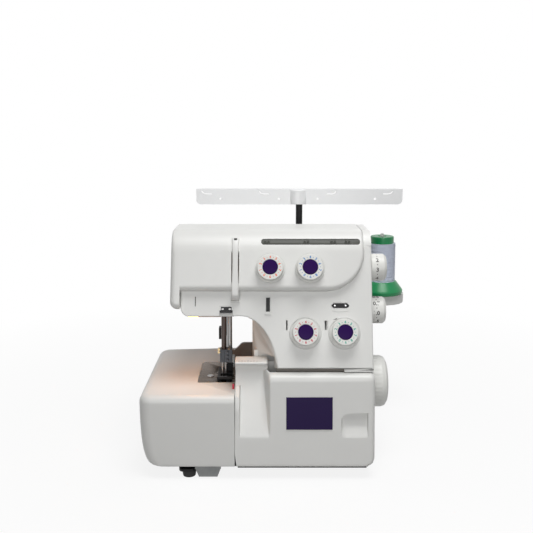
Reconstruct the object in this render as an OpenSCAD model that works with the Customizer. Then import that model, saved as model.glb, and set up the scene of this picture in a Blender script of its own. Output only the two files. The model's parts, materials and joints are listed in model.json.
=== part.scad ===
// Four-thread overlock sewing machine (serger), built as an assembly.
// Millimetres, +Z up. The origin is on the ground under the middle of the machine.
// Inside the modules Y counts back from the front plane, and place() moves it to the origin's Y.

/* [Housing] */
// Front plane, measured from the origin (it lies ahead, so it is negative)
front_y = -122; // [-125:1:-119]
// Right face of the housing
right_x = 95; // [92:1:98]
// Width of the column, from its right face to the throat
column_w = 133.5; // [128:0.5:138]
// Reach of the head's front panel to the left of the column
head_reach = 79.5; // [77:0.5:84]
// How far the upper cover stands out past the front panel on the left
end_reach = 11; // [8:0.5:14]
// Depth of the housing behind the front plane
body_depth = 160; // [157:1:164]
// Height of the housing's top
top_z = 267; // [264:0.5:270]
// Wall of the moulded covers
wall = 2.5; // [2:0.1:3]
// Gap between neighbouring covers
seam = 0.3; // [0.3:0.05:0.6]
// Lean of the front panel, back from upright
lean = 14.8; // [13:0.2:16]
// How far back the bottom edge of the front panel lies
panel_d = 16; // [14:0.5:18]
// Radius of the brow, where the front panel turns into the top
brow_r = 32; // [28:1:36]
// How far the brows' arcs would rise above the flat top
brow_rise = 3.2; // [2.5:0.1:4]
// Radius of the top's left and right edges
top_edge_r = 3; // [2.6:0.1:4]
// Fall of the rear cover's top towards the back
rear_fall = 10; // [8:1:14]
// Depth at which the front and the rear covers meet
split_d = 112; // [110:1:118]
// Depth of the wall behind the looper compartment
compartment_d = 52; // [49:0.5:53]

/* [Upper cover] */
// Height of the seam under the upper cover
seam_z = 203; // [200:1:206]
// Lean of the upper cover's face
bulge_lean = 18; // [16:0.5:20]
// Depth of the upper cover's face just above its seam
bulge_d = 30; // [28:0.5:31]
// Radius of the upper cover's brow
bulge_brow_r = 40; // [36:1:43]
// Radius of the roll under the upper cover's lower edge
roll_r = 6; // [5:0.5:7]
// Width of the plain strip right of the upper cover
strip_w = 9; // [8:0.5:11]
// Radius of the upper cover's lower right corner
sweep_r = 43; // [38:1:46]

/* [Bed] */
// Height of the rubber feet
foot_h = 7.5; // [7:0.5:8.5]
// Radius of the rubber feet
foot_r = 8; // [6:0.5:9]
// Thickness of the base pan
pan_t = 3; // [2.5:0.1:3.5]
// Gap between the pan and the covers' lower edges
skirt_gap = 4; // [3.5:0.5:5]
// Height of the sewing surface
cloth_z = 94; // [92:0.5:96]
// Left face of the cloth plate
cloth_x = -162; // [-166:1:-156]
// Right edge of the cloth plate
cloth_edge_x = -57.5; // [-58:0.1:-57.4]
// Depth of the cloth plate
cloth_depth = 187; // [184:1:190]
// Radius of the cloth plate's long top edges
cloth_r = 8; // [6:0.5:10]
// Radius of the cloth plate's left corners, seen from above
cloth_corner_r = 14; // [10:1:18]
// Thickness of the needle plate
needle_plate_t = 2.8; // [2.8:0.1:3.2]

/* [Looper cover] */
// Left edge of the looper cover
cover_x = -57; // [-57.1:0.1:-56.5]
// How far the looper cover stands out past the housing's right face
cover_proud = 1; // [0.5:0.5:1.5]
// Height of the looper cover's top
cover_z = 115.5; // [113:0.5:116]
// Gap between the looper cover and the front panel
slot_h = 4.5; // [4:0.5:6]
// How far the looper cover's face leans back at its top
cover_lean_d = 7; // [6:0.5:8]
// Radius of the looper cover's top edge
cover_r = 8; // [7:0.5:9]
// Depth of the hinge line under the looper cover
hinge_d = 7.5; // [7:0.1:8]
// Height of the hinge line above the cover's lower edge
hinge_rise = 8; // [7.6:0.1:8.4]
// Right wall of the scoop at the cover's left end
scoop_x = -19; // [-20:0.5:-18]
// Height of the seam guide shelf
shelf_z = 126; // [125:0.5:128]
// Thickness of the seam guide shelf
shelf_t = 3; // [2.5:0.1:3.5]

/* [Dials and knobs] */
// Tilt of the tension dials' axes, up from level
dial_tilt = 22; // [20:0.5:24]
// Radius of a tension dial's skirt
dial_r = 16; // [14:0.5:17]
// Height of a tension dial over the panel
dial_h = 12; // [10:0.5:14]
// Radius of a tension dial's coloured cap
cap_r = 7.7; // [6.5:0.1:9]
// Radius of the tension posts
post_r = 2.5; // [2:0.1:3]
// Radius of the two knobs on the right side
knob_r = 15.5; // [13:0.5:17]
// How far the side knobs stand out
knob_h = 18; // [15:0.5:20]
// Radius of the handwheel
wheel_r = 29.5; // [26:0.5:31]
// Width of the handwheel
wheel_w = 20; // [17:0.5:23]

/* [Drive] */
// Radius of the main shaft
shaft_r = 5; // [4.5:0.1:5.5]
// Radius of the pulley on the main shaft
pulley_r = 14; // [12:0.5:15]
// Radius of the pulley on the motor
motor_pulley_r = 8; // [7:0.5:9]
// Radius of the motor
motor_r = 24; // [21:0.5:25]
// Radial clearance of a turning or sliding shaft
run_gap = 0.05; // [0.03:0.01:0.08]
// Radius of the needle bar
needle_bar_r = 3; // [2.8:0.1:3.2]
// Radius of the presser bar
presser_bar_r = 3.2; // [3:0.1:3.6]

/* [Thread stand] */
// Height of the spool stand's tray
tray_z = 150; // [148:1:153]
// Thickness of the spool stand's tray
tray_t = 12; // [10:0.5:14]
// How far back the spool stand reaches
tray_depth = 244; // [242:1:246]
// Distance between neighbouring spool pins
pin_pitch = 74.5; // [74:0.1:75]
// Radius of the spool pins
pin_r = 3; // [2.5:0.1:3.4]
// Radius of the thread on the spool
thread_r = 18; // [16:0.5:22]
// Radius of the telescopic guide's rod
rod_r = 4.25; // [4:0.05:4.5]
// Length of the thread guide bar
bar_len = 263; // [255:1:268]
// Height of the thread guide bar
bar_h = 19.5; // [18:0.5:22]
// Top of the thread guide bar
bar_z = 304.5; // [302:0.5:310]

/* [Hidden] */
$fn = 64;

// Colours of the pieces
shell_white = [0.86, 0.86, 0.84];
soft_black = [0.07, 0.07, 0.07];
steel = [0.66, 0.66, 0.67];
cast_grey = [0.55, 0.56, 0.56];
violet = [0.16, 0.05, 0.32];
spool_green = [0.0, 0.55, 0.25];

// Levels and edges that follow from the driving sizes
pan_top = foot_h + pan_t;
skirt_z = pan_top + skirt_gap;
column_x = right_x - column_w;
head_x = column_x - head_reach;
end_x = head_x - end_reach;
throat_r = 8;
head_z = seam_z - 28.5;
panel_z = cover_z + slot_h;
bulge_x = right_x - strip_w;
cover_x1 = right_x + cover_proud;
hinge_z = skirt_z + hinge_rise;
hinge_reach = norm([hinge_d, hinge_rise]);
cover_d = hinge_d + hinge_reach;
side_d = cover_d + 1;
bed_z = cloth_z - needle_plate_t;

// A point on the leaning planes of the front panel and of the upper cover, by height
function face_at(z) = panel_d + (z - panel_z) * tan(lean);
function bulge_at(z) = bulge_d + (z - seam_z - 7) * tan(bulge_lean);
function cover_at(z) = cover_lean_d * (z - skirt_z) / (cover_z - cover_r - skirt_z);

// Points of an arc, counted from angle a to angle b
function arc(c, r, a, b, n = 8) =
    [for (i = [0:n]) c + r * [cos(a + (b - a) * i / n), sin(a + (b - a) * i / n)]];

// A closed counter-clockwise outline moved inwards by t, or outwards where t is negative
function left_of(a, b) = [a[1] - b[1], b[0] - a[0]] / norm(b - a);
function mitre(m, n) = (m + n) / (1 + m * n);
function inset(p, t) = [for (i = [0:len(p) - 1])
    p[i] + t * mitre(left_of(p[(i + len(p) - 1) % len(p)], p[i]),
                     left_of(p[i], p[(i + 1) % len(p)]))];

// A rectangle with four rounded corners, counter-clockwise
function round_rect(x0, y0, x1, y1, r) = concat(
    arc([x0 + r, y0 + r], r, 180, 270, 5), arc([x1 - r, y0 + r], r, 270, 360, 5),
    arc([x1 - r, y1 - r], r, 0, 90, 5), arc([x0 + r, y1 - r], r, 90, 180, 5));

module place(shade) { color(shade) translate([0, front_y, 0]) children(); }
module along_x(x0, x1) { translate([x0, 0, 0]) rotate([90, 0, 90]) linear_extrude(x1 - x0) children(); }
module along_y(y0, y1) { translate([0, y1, 0]) rotate([90, 0, 0]) linear_extrude(y1 - y0) children(); }
module along_z(z0, z1) { translate([0, 0, z0]) linear_extrude(z1 - z0) children(); }
module rod_x(x0, x1, y, z, r) { translate([x0, y, z]) rotate([0, 90, 0]) cylinder(r = r, h = x1 - x0); }
module rod_y(y0, y1, x, z, r) { translate([x, y0, z]) rotate([-90, 0, 0]) cylinder(r = r, h = y1 - y0); }
module rod_z(z0, z1, x, y, r) { translate([x, y, z0]) cylinder(r = r, h = z1 - z0); }
// A block along X with its cross section, depth and height, about a middle
module block_x(x0, x1, d, z, size) {
    block(x0, x1, d - size[0] / 2, d + size[0] / 2, z - size[1] / 2, z + size[1] / 2);
}
module block(x0, x1, y0, y1, z0, z1) { translate([x0, y0, z0]) cube([x1 - x0, y1 - y0, z1 - z0]); }

// ---------------------------------------------------------------- housing

// Arc of a brow: r its radius, top the height of the flat top over its centre, a the face's lean
function brow(c, r, top, a) = arc(c, r, 90 + acos(top / r), 180 - a, 10);
brow_z = top_z + brow_rise - brow_r;
brow_c = [face_at(brow_z) + brow_r / cos(lean), brow_z];

// Centre of the rounded back edge of the falling top
back_r = 12;
back_c = [body_depth - back_r,
    top_z - (back_r + (body_depth - back_r - split_d) * sin(rear_fall)) / cos(rear_fall)];

// Side view of the housing, as depth and height
housing_profile = concat(
    [[compartment_d, skirt_z], [body_depth, skirt_z]],
    arc(back_c, back_r, 0, 90 - rear_fall), [[split_d, top_z]],
    brow(brow_c, brow_r, top_z - brow_z, lean),
    [[panel_d, panel_z], [compartment_d, panel_z]]);

// The two upper corners of a front view, right one first
function top_corners(left, right, z) = concat(
    arc([right - top_edge_r, z - top_edge_r], top_edge_r, 0, 90, 5),
    arc([left + top_edge_r, z - top_edge_r], top_edge_r, 90, 180, 5));

// Front view of the column and the head; left is the head's left end
function housing_outline(left) = concat(
    [[column_x, skirt_z], [right_x, skirt_z]],
    top_corners(left, right_x, top_z),
    arc([left + 10, head_z + 10], 10, 180, 270),
    arc([column_x - throat_r, head_z - throat_r], throat_r, 90, 0));

// Scoop that widens the throat's upper right corner towards the front
scoop_c = [column_x - 19.5, head_z - 45.5];
scoop_r = 47;
scoop_ease = 0.4;
module throat_scoop(grow) {
    hull() {
        along_y(-1, 18) translate(scoop_c) circle(r = scoop_r + grow, $fn = 40);
        along_y(-1, 18)
            translate([scoop_c[0] - 40, cloth_z + 2 - grow])
            square([40 + scoop_r + grow, scoop_c[1] - cloth_z - 2 + grow]);
        along_y(compartment_d - 2 + grow, compartment_d - 1 + grow)
            translate([column_x - throat_r, head_z - throat_r])
                circle(r = throat_r + grow - scoop_ease, $fn = 32);
        along_y(compartment_d - 2 + grow, compartment_d - 1 + grow)
            translate([column_x - 60, cloth_z + 2 - grow])
            square([60 + grow - scoop_ease, head_z - throat_r - cloth_z - 2 + grow]);
    }
}

module housing_solid(t, left) {
    difference() {
        intersection() {
            along_x(left - 1, right_x + 1) polygon(inset(housing_profile, t));
            along_y(-1, body_depth + 1) polygon(inset(housing_outline(left), t));
        }
        throat_scoop(t);
    }
}

// The housing's hollow, open at the bottom
module housing_hollow(left) {
    housing_solid(wall, left);
    block(column_x + wall, right_x - wall, compartment_d + wall, body_depth - wall, 0, skirt_z + wall + 1);
}

// Front view of the upper cover
bulge_top = top_z + 0.6;
guide_hooks = [-22, 22, 52, 68];
bulge_outline = concat(
    [[end_x, seam_z]],
    arc([bulge_x - sweep_r, seam_z + sweep_r], sweep_r, 270, 360, 12),
    top_corners(end_x, bulge_x, bulge_top));

// Side view of the upper cover; back is where it ends, low its lower edge
bulge_brow_z = bulge_top + brow_rise - bulge_brow_r;
bulge_brow_c = [bulge_at(bulge_brow_z) + bulge_brow_r / cos(bulge_lean), bulge_brow_z];
function bulge_profile(back, low = seam_z) = concat(
    [[back, low], [back, bulge_top]],
    brow(bulge_brow_c, bulge_brow_r, bulge_top - bulge_brow_z, bulge_lean),
    arc([bulge_at(low + roll_r) + roll_r / cos(bulge_lean), low + roll_r],
        roll_r, 180 - bulge_lean, 270, 6));

// Front view of the cover's left end, which comes down beside the front panel; t draws it in
apron_z = head_z + 9.5;
apron_r = 8;
function apron_outline(t, right) = concat(
    [[right, apron_z + t], [right, seam_z + 20], [end_x + t, seam_z + 20]],
    arc([end_x + apron_r, apron_z + apron_r], apron_r - t, 180, 270, 6));

// Side view of the right cover; grow widens it for its cut-out
side_rim = 6;
function side_outline(grow) = inset(concat(
    [[side_d, skirt_z], [body_depth - side_rim, skirt_z]],
    arc(back_c, back_r - side_rim, 0, 90 - rear_fall, 5),
    [[split_d - side_rim * tan(rear_fall / 2), top_z - side_rim]],
    brow(brow_c, brow_r - side_rim, top_z - side_rim - brow_z, lean),
    [[face_at(panel_z + 2) + side_rim, panel_z + 2], [side_d, panel_z - 0.5]]), -grow);

// Places of the four tension dials, [x, z] on the panel, left to right, and the lift of each seat
dials = [[-18.5, 227.5, 1.8], [25.3, 227.5, 1.8], [20.3, 157.2, 2.8], [63.4, 157.2, 2.8]];
function dial_depth(i) = dials[i][1] > seam_z ? bulge_at(dials[i][1]) : face_at(dials[i][1]);
module at_dial(i) {
    translate([dials[i][0], dial_depth(i), dials[i][1]]) rotate([90 - dial_tilt, 0, 0]) children();
}
module dial_seat(i) {
    at_dial(i) translate([0, 0, -4]) cylinder(r = dial_r + 0.8, h = 4 + dials[i][2] - 0.5);
}

// Places of the bars, shafts and knobs
needle_x = -71.5;
needle_d = 62;
presser_x = -66;
presser_d = 78;
shaft_d = 71;
shaft_z = 87.5;
knob_d = 67;
length_knob_z = 223.5;
ratio_knob_z = 173.5;
motor_d = body_depth - 32;
motor_z = 50;
inlet_d = body_depth - 28;
inlet_z = 100;
inlet_size = [24, 16];
switch_z = 129;
switch_size = [21, 13.6];
switch_x = right_x - 5;
switch_pin_r = 1.5;
lever_x = -70;
lever_d = body_depth - 39;
lever_z = head_z + 20.5;
lamp_x = -104;
lamp_d = 46;
take_up_x = -57;

module front_panel() place(shell_white) {
    difference() {
        union() {
            difference() {
                housing_solid(0, head_x);
                housing_hollow(head_x);
            }
            // Pocket around the end of the looper cover's shelf
            intersection() {
                housing_solid(0, head_x);
                block(column_x, notch_x + wall, 0, shelf_d1 + 0.5 + wall, panel_z - 1, notch_z + wall);
            }
            // Lip over the looper cover's right-hand part
            along_x(lip_x, right_x)
                polygon([[face_at(lip_z) + 0.1, lip_z], [face_at(panel_z + 1) + 0.1, panel_z + 1],
                [compartment_d, panel_z + 1], [compartment_d, lip_z]]);
            // Bosses behind the two lower dials
            for (i = [2, 3]) intersection() {
                dial_seat(i);
                block(-200, 200, 0, split_d, panel_z, seam_z);
            }
        }
        // Room for the rear cover, the upper cover and the right cover
        block(-200, 200, split_d - seam / 2, 300, 0, 400);
        along_y(-1, split_d + 1) polygon(inset(bulge_outline, -seam));
        along_x(right_x - wall - 1, right_x + 1) polygon(side_outline(seam));
        // Open front of the looper area and the way through the column's foot
        block(column_x - 1, column_x + 30, compartment_d - 2, compartment_d + 4, skirt_z + 4, panel_z - 3);
        block(column_x - 1, column_x + wall + 1, compartment_d - 2, split_d + 1, 0, cloth_z - 1);
        // Underside openings for the bars and the lamp
        block(needle_x - 10, presser_x + 10, needle_d - 10, presser_d + 12, head_z - 1, head_z + wall + 1);
        block(lamp_x - 12, lamp_x + 12, lamp_d - 10, lamp_d + 14, head_z - 1, head_z + wall + 1);
        // Room for the looper cover's shelf, slid and swinging out
        block(column_x - 20, notch_x, -1, shelf_d1 + 0.5, panel_z - 2, notch_z);
        // Post holes and thread slits
        for (i = [2, 3]) at_dial(i) translate([0, 0, -12]) cylinder(r = post_r, h = 24);
        for (i = [2, 3]) block(dials[i][0] - 21, dials[i][0] - 19.6, 0, 34, 160, 170.5);
    }
}

module head_cover() place(shell_white) {
    difference() {
        union() {
            difference() {
                union() {
                    intersection() {
                        along_x(end_x - 1, bulge_x + 1) polygon(bulge_profile(split_d));
                        along_y(0, split_d) polygon(bulge_outline);
                    }
                    // Left end, carried down beside the front panel
                    intersection() {
                        along_x(end_x - 1, head_x) polygon(bulge_profile(split_d, apron_z));
                        along_y(0, split_d) polygon(apron_outline(0, head_x - seam));
                    }
                }
                intersection() {
                    along_x(end_x + wall, bulge_x - wall) polygon(inset(bulge_profile(split_d + 9), wall));
                    along_y(-1, split_d + 1) polygon(inset(bulge_outline, wall));
                }
                // Everything behind the front panel's plane, and the left end's hollow
                intersection() {
                    along_x(end_x + wall, right_x) polygon(inset(housing_profile, wall));
                    block(-200, 200, 0, 300, seam_z, 400);
                }
                intersection() {
                    along_x(end_x, head_x) polygon(inset(bulge_profile(split_d + 9, apron_z), wall));
                    along_y(0, split_d + 1) polygon(apron_outline(wall, head_x));
                }
            }
            for (i = [0, 1]) intersection() {
                dial_seat(i);
                along_x(-100, 100) polygon(bulge_profile(60));
            }
        }
        // Slot of the take-up lever
        block(take_up_x - 3, take_up_x + 3, 0, 62, seam_z + 6, seam_z + 47);
        for (i = [0, 1]) at_dial(i) translate([0, 0, -12]) cylinder(r = post_r, h = 24);
        guide_window_front(0);
    }
}

module rear_cover() place(shell_white) {
    difference() {
        intersection() {
            housing_solid(0, end_x + 2);
            // Rounded edges of the falling top
            translate([0, split_d, top_z]) rotate([-rear_fall, 0, 0])
                along_y(-2 * body_depth, 2 * body_depth)
                polygon(concat([[end_x + 2, -2 * top_z], [right_x, -2 * top_z]], top_corners(end_x + 2, right_x, 0)));
        }
        housing_hollow(end_x + 2);
        block(-200, 200, -1, split_d + seam / 2, 0, 400);
        along_x(right_x - wall - 1, right_x + 1) polygon(side_outline(seam));
        // Pivot hole of the presser lever and rows of cooling slots
        rod_y(body_depth - 10, body_depth + 10, lever_x, lever_z, 3.6);
        for (i = [0:7]) block(-10 + 10 * i, -6 + 10 * i, body_depth - 10, body_depth + 10, 40, 70);
    }
}

module right_cover() place(shell_white) {
    difference() {
        along_x(right_x - wall, right_x) polygon(side_outline(0));
        rod_x(0, 200, shaft_d, shaft_z, 12);
        rod_x(0, 200, knob_d, length_knob_z, 5);
        rod_x(0, 200, knob_d, ratio_knob_z, 5);
        // Cut-outs of the mains inlet and of the switch
        block_x(0, 200, inlet_d, inlet_z, inlet_size + [2, 2] * seam);
        block_x(0, 200, inlet_d, switch_z, switch_size + [1.6, 1]);
    }
    // Cheeks that carry the switch's pivot
    difference() {
        for (side = [-1, 1])
            block_x(right_x - 9, right_x - wall + 0.1, inlet_d, switch_z + side * (switch_size[1] / 2 + 2.5), [8, 3]);
        rod_z(switch_z - 20, switch_z + 20, switch_x, inlet_d, switch_pin_r + run_gap);
    }
}

// ---------------------------------------------------------------- base and frame

feet = [[-108, 12], [72, 56], [-108, body_depth - 12], [72, body_depth - 12]];

module base_pan() place(soft_black) {
    difference() {
        union() {
            along_z(foot_h, pan_top) polygon(round_rect(-119, 17, right_x - 2, body_depth - 2, 6));
            // Lobe over the foot at the front left
            along_z(foot_h, pan_top) polygon(round_rect(-119, 3, -101.2, 40, 6));
            // Rim that stiffens the pan
            difference() {
                along_z(foot_h, skirt_z - 1)
                    polygon(round_rect(column_x + 1, side_d + 1, right_x - wall - 1, body_depth - wall - 1, 6));
                along_z(pan_top, skirt_z)
                    polygon(round_rect(column_x + 4, side_d + 4, right_x - wall - 4, body_depth - wall - 4, 4));
            }
            // Brackets of the looper cover's hinge pin
            for (x = hinge_brackets) along_x(x - 1.5, x + 1.5)
                polygon([[hinge_d, hinge_z - 3.6], [hinge_d + 12, hinge_z - 3.6], [hinge_d + 13.5, pan_top - 1],
                    [hinge_d + 21, pan_top - 1], [hinge_d + 21, hinge_z + 3.6], [hinge_d, hinge_z + 3.6]]);
            for (x = hinge_brackets) rod_x(x - 1.5, x + 1.5, hinge_d, hinge_z, 3.6);
        }
        rod_x(-100, 150, hinge_d, hinge_z, 2);
        // Ways of the frame's leg and of its floor casting
        block(-101.2, -72.4, 3.8, 12.2, 0, pan_top + 1);
        block(column_x, column_x + 5, side_d, 104.4, pan_top, skirt_z);
    }
}

module rubber_feet() place(soft_black) {
    for (p = feet) translate([p[0], p[1], 0]) cylinder(r1 = foot_r - 1, r2 = foot_r, h = foot_h);
}

upright_x = [-33, 60];
upright_t = 9;
// Wall of the frame, and the free space between the frame's foot and the motor in front of it
frame_wall = [92, 100];
motor_space = 4;
frame_back = motor_d - motor_r - motor_space;
bed_left = -98;
bed_right = -60;
looper_pivot = [-52, 40];
post_x = -44;
post_d = 69;

module main_frame() place(cast_grey) {
    difference() {
        union() {
            // Floor casting, standing on the pan
            block(-97, column_x + 2, 36, 104, pan_top, 22);
            block(column_x + 2, 78, compartment_d + 4, frame_back + 1, pan_top, 22);
            // Two uprights and the wall between them
            for (x = upright_x) {
                block(x, x + upright_t, compartment_d + 4, frame_back, 21, 112);
                block(x, x + upright_t, compartment_d + 4, frame_wall[1], 112, 250);
            }
            block(upright_x[0], upright_x[1] + upright_t, frame_wall[0], frame_wall[1], 112, 250);
            // Arm out to the head
            block(-112, upright_x[0] + 1, frame_wall[0], frame_wall[1], head_z + 14, 250);
            block(needle_x - 9, presser_x + 9, needle_d - 8, 93, head_z + 12, head_z + 22);
            block(needle_x - 9, presser_x + 5, needle_d - 8, 93, 212, 222);
            // Box under the needle plate, open to the right
            block(bed_left, bed_right, plate_d0 - 7, plate_d0 + 1, 21, bed_z);
            block(bed_left, bed_right, 96.5, 103, 21, bed_z);
            block(bed_left, bed_left + 4, 36, 103, 21, bed_z);
            // Boss of the presser lever's pivot
            rod_y(99, body_depth - 10, lever_x, lever_z, 7);
            // Bearing of the lower looper's shaft, guides of the upper looper and the upper knife
            block(looper_pivot[0] - 8, looper_pivot[0] + 8, 84, 96.6, 21, looper_pivot[1] + 9);
            block(bed_right - 1, looper_pivot[0] + 9, 96.5, 103, 21, 60);
            block(-34, -22, 55, 64, 40, 58);
            block(post_x - 4.5, -32, post_d - 6, post_d + 6, 48, 60);
            // Leg under the bed's front left corner, and the toe of the floor casting that carries it
            along_y(4, 12) polygon([[-96.7, 1.5], [-76.4, 1.5], [-72.6, pan_top + 1], [-101, pan_top + 1]]);
            block(-101, -72.6, 4, 37, pan_top, 17);
        }
        // Bores of the shafts and bars
        rod_x(-60, 100, shaft_d, shaft_z, shaft_r + run_gap);
        rod_x(0, 100, knob_d, length_knob_z, 4 + run_gap);
        rod_x(0, 100, knob_d, ratio_knob_z, 4 + run_gap);
        rod_z(head_z, 260, needle_x, needle_d, needle_bar_r + run_gap);
        rod_z(head_z, 260, presser_x, presser_d, presser_bar_r + run_gap);
        rod_y(lever_d - 1, body_depth, lever_x, lever_z, 3 + run_gap);
        rod_y(60, 99, looper_pivot[0], looper_pivot[1], 4 + run_gap);
        rod_z(30, 80, post_x, post_d, 2.5 + run_gap);
        upper_looper_rod(2.5 + run_gap, 20);
        rod_y(30, 50, needle_x, 74, 2.5 + run_gap);
        rod_y(90, 110, needle_x, 74, 2.5 + run_gap);
        rod_x(upright_x[0] - 1, upright_x[0] + upright_t + 1, 84, 235, 3 + run_gap);
    }
}

// Left, front and rear edges of the needle plate
plate_x = -101;
plate_d0 = 46;
plate_d1 = 120.5;
module needle_plate() place(steel) {
    difference() {
        along_z(bed_z, cloth_z) polygon(concat([[-54.8, plate_d0], [-54.8, plate_d1]],
            arc([plate_x + 6, plate_d1 - 6], 6, 90, 180), arc([plate_x + 2, plate_d0 + 2], 2, 180, 270, 4)));
        // Feed dog slots, needle hole, way of the upper looper, screw holes
        for (x = [-78, -68]) block(x - 0.7, x + 3.7, plate_d0 + 1.6, 58.8, 0, 200);
        for (x = [-78, -68]) block(x - 0.7, x + 3.7, 65.6, 90.4, 0, 200);
        block(needle_x - 4.5, needle_x + 4.5, needle_d - 1.6, needle_d + 1.6, 0, 200);
        block(-70, -50, 57.4, 61.2, 0, 200);
        rod_z(0, 200, -88, 68, 2);
    }
}

module lower_knife() place(steel) {
    along_x(-54.6, -52.4)
        polygon([[66, cloth_z - 26], [74, cloth_z - 26], [74, cloth_z - 0.6], [66, cloth_z]]);
    block(-54.7, -52.4, 74, 97, cloth_z - 26, cloth_z - 18);
}

module bed_guard() place(soft_black) {
    along_y(124, 129) polygon(concat([[column_x, cloth_z - 40], [column_x, cloth_z + 23]],
        arc([-50, cloth_z + 16], 7, 90, 150, 4), arc([-64, cloth_z + 10.5], 3.5, 60, 180, 4),
        [[-67.5, cloth_z + 0.8], [cloth_edge_x + 1, cloth_z + 0.8], [cloth_edge_x + 1, cloth_z - 40]]));
    block(column_x - 1.5, column_x, 118, 129, cloth_z - 40, cloth_z - 10);
}

module lamp_bulb() place([1, 0.8, 0.5]) {
    translate([lamp_x, lamp_d, head_z + 3]) sphere(r = 5.5);
    rod_z(head_z + 6, head_z + 22, lamp_x, lamp_d, 4.5);
    block(lamp_x - 3, lamp_x + 3, lamp_d, 92, head_z + 17, head_z + 22);
}

screw_spots = [[-100, 205], [-100, 240], [82, 30], [82, 240], [-30, 30], [-30, 235]];
module screws() place(steel) {
    // Rear cover screws, heads outside
    for (p = screw_spots) rod_y(body_depth, body_depth + 1.6, p[0], p[1], 3.2);
    // Needle plate screw with a low head
    rod_z(bed_z - 8, cloth_z, -88, 68, 2);
    rod_z(cloth_z, cloth_z + 0.8, -88, 68, 3.6);
}

// ---------------------------------------------------------------- thread path

// Window of the upper thread guide in the upper cover: left, right, bottom, top
guide_window = [-28.5, bulge_x - 4, 253, 259];
module guide_window_front(grow) {
    r = (guide_window[3] - guide_window[2]) / 2 + grow;
    along_y(0, 80) polygon(concat(
        arc([guide_window[0] + r - grow, guide_window[2] + r - grow], r, 90, 270, 6),
        arc([guide_window[1] - r + grow, guide_window[2] + r - grow], r, -90, 90, 6)));
}

module upper_thread_guide() place([0.35, 0.36, 0.33]) {
    middle = (guide_window[2] + guide_window[3]) / 2;
    // Bar set into the cover's window, with its back plate behind the wall
    difference() {
        intersection() {
            guide_window_front(-0.15);
            along_x(-100, 100) polygon(inset(bulge_profile(split_d), 0.8));
        }
        along_x(-100, 100) polygon(inset(bulge_profile(split_d), wall + 0.5));
    }
    difference() {
        intersection() {
            guide_window_front(2);
            along_x(-100, bulge_x - wall - 0.3) polygon(inset(bulge_profile(split_d), wall));
        }
        along_x(-100, 100) polygon(inset(bulge_profile(split_d), wall + 1.5));
    }
    // Four pairs of guide hooks, standing a little proud of the bar
    for (x = guide_hooks, side = [-1.8, 1.8])
        rod_y(bulge_at(middle) + 2, bulge_at(middle) + 7, x + side, middle, 1.3);
}

module take_up_cover() place(shell_white) {
    difference() {
        intersection() {
            along_x(take_up_x - 4, take_up_x + 4)
                polygon([[0, seam_z - 2.5], [36, seam_z - 2.5], [62, seam_z + 53], [0, seam_z + 53]]);
            along_x(-100, 0) polygon(inset(bulge_profile(split_d), -2));
        }
        along_x(-100, 0) polygon(bulge_profile(split_d));
    }
    along_x(take_up_x - 4.5, take_up_x + 4.5)
        polygon([[face_at(seam_z - 11) - 4, seam_z - 11], [face_at(seam_z - 11), seam_z - 11],
            [face_at(seam_z - 1), seam_z - 1], [bulge_at(seam_z) - 1, seam_z - 1], [bulge_at(seam_z) - 2, seam_z - 5]]);
}

module needle_thread_guide() place(soft_black) {
    along_x(-74, -59.5) polygon([[face_at(head_z + 4) - 4.5, head_z + 4], [face_at(head_z + 4), head_z + 4],
        [face_at(head_z + 15), head_z + 15], [face_at(head_z + 15) - 3, head_z + 15]]);
}

module looper_thread_guides() place(soft_black) {
    along_x(-23.3, -18.4) polygon([[face_at(177) - 2.5, 177], [face_at(177), 177],
        [face_at(196), 196], [face_at(196) - 1, 196]]);
    along_x(49.3, 69) polygon([[face_at(183) - 3, 183], [face_at(183), 183],
        [face_at(190), 190], [face_at(190) - 3, 190]]);
}

module tension_posts() place(steel) {
    for (i = [0:3]) at_dial(i) translate([0, 0, -16]) cylinder(r = post_r, h = 16 + dial_h - 2.8);
}

module tension_stacks() place(steel) {
    // Two discs and a spring on each post, behind the panel
    for (i = [0:3]) at_dial(i) {
        for (z = [-6.5, -8.2]) translate([0, 0, z]) difference() {
            cylinder(r = 9, h = 1.2);
            translate([0, 0, -1]) cylinder(r = post_r, h = 4);
        }
        translate([0, 0, -15]) difference() {
            cylinder(r = 5, h = 6.8);
            translate([0, 0, -1]) cylinder(r = post_r, h = 9);
        }
    }
}

module tension_dial(i) {
    base = dials[i][2];
    at_dial(i) difference() {
        union() {
            translate([0, 0, base]) cylinder(r = dial_r, h = 2);
            translate([0, 0, base + 2]) cylinder(r1 = dial_r - 1, r2 = dial_r - 1.9, h = dial_h - base - 2);
        }
        translate([0, 0, base - 1]) cylinder(r = post_r + run_gap, h = dial_h - 1.3 - base);
        translate([0, 0, dial_h - 1.5]) cylinder(r = cap_r, h = 3);
    }
}
module dial_cap(i) { at_dial(i) translate([0, 0, dial_h - 1.5]) cylinder(r = cap_r, h = 2); }
module tension_dial_1() place(shell_white) tension_dial(0);
module tension_dial_2() place(shell_white) tension_dial(1);
module tension_dial_3() place(shell_white) tension_dial(2);
module tension_dial_4() place(shell_white) tension_dial(3);
module dial_cap_1() place(violet) dial_cap(0);
module dial_cap_2() place(violet) dial_cap(1);
module dial_cap_3() place(violet) dial_cap(2);
module dial_cap_4() place(violet) dial_cap(3);

// ---------------------------------------------------------------- side controls and drive

module side_knob(z) {
    x = right_x + 0.8;
    translate([x, knob_d, z]) rotate([0, 90, 0]) {
        cylinder(r = knob_r, h = knob_h - 3);
        translate([0, 0, knob_h - 3]) cylinder(r1 = knob_r, r2 = knob_r - 2.5, h = 3);
    }
    rod_x(upright_x[1], x, knob_d, z, 4);
}
module stitch_length_knob() place(shell_white) side_knob(length_knob_z);
module feed_ratio_knob() place(shell_white) side_knob(ratio_knob_z);

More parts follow.
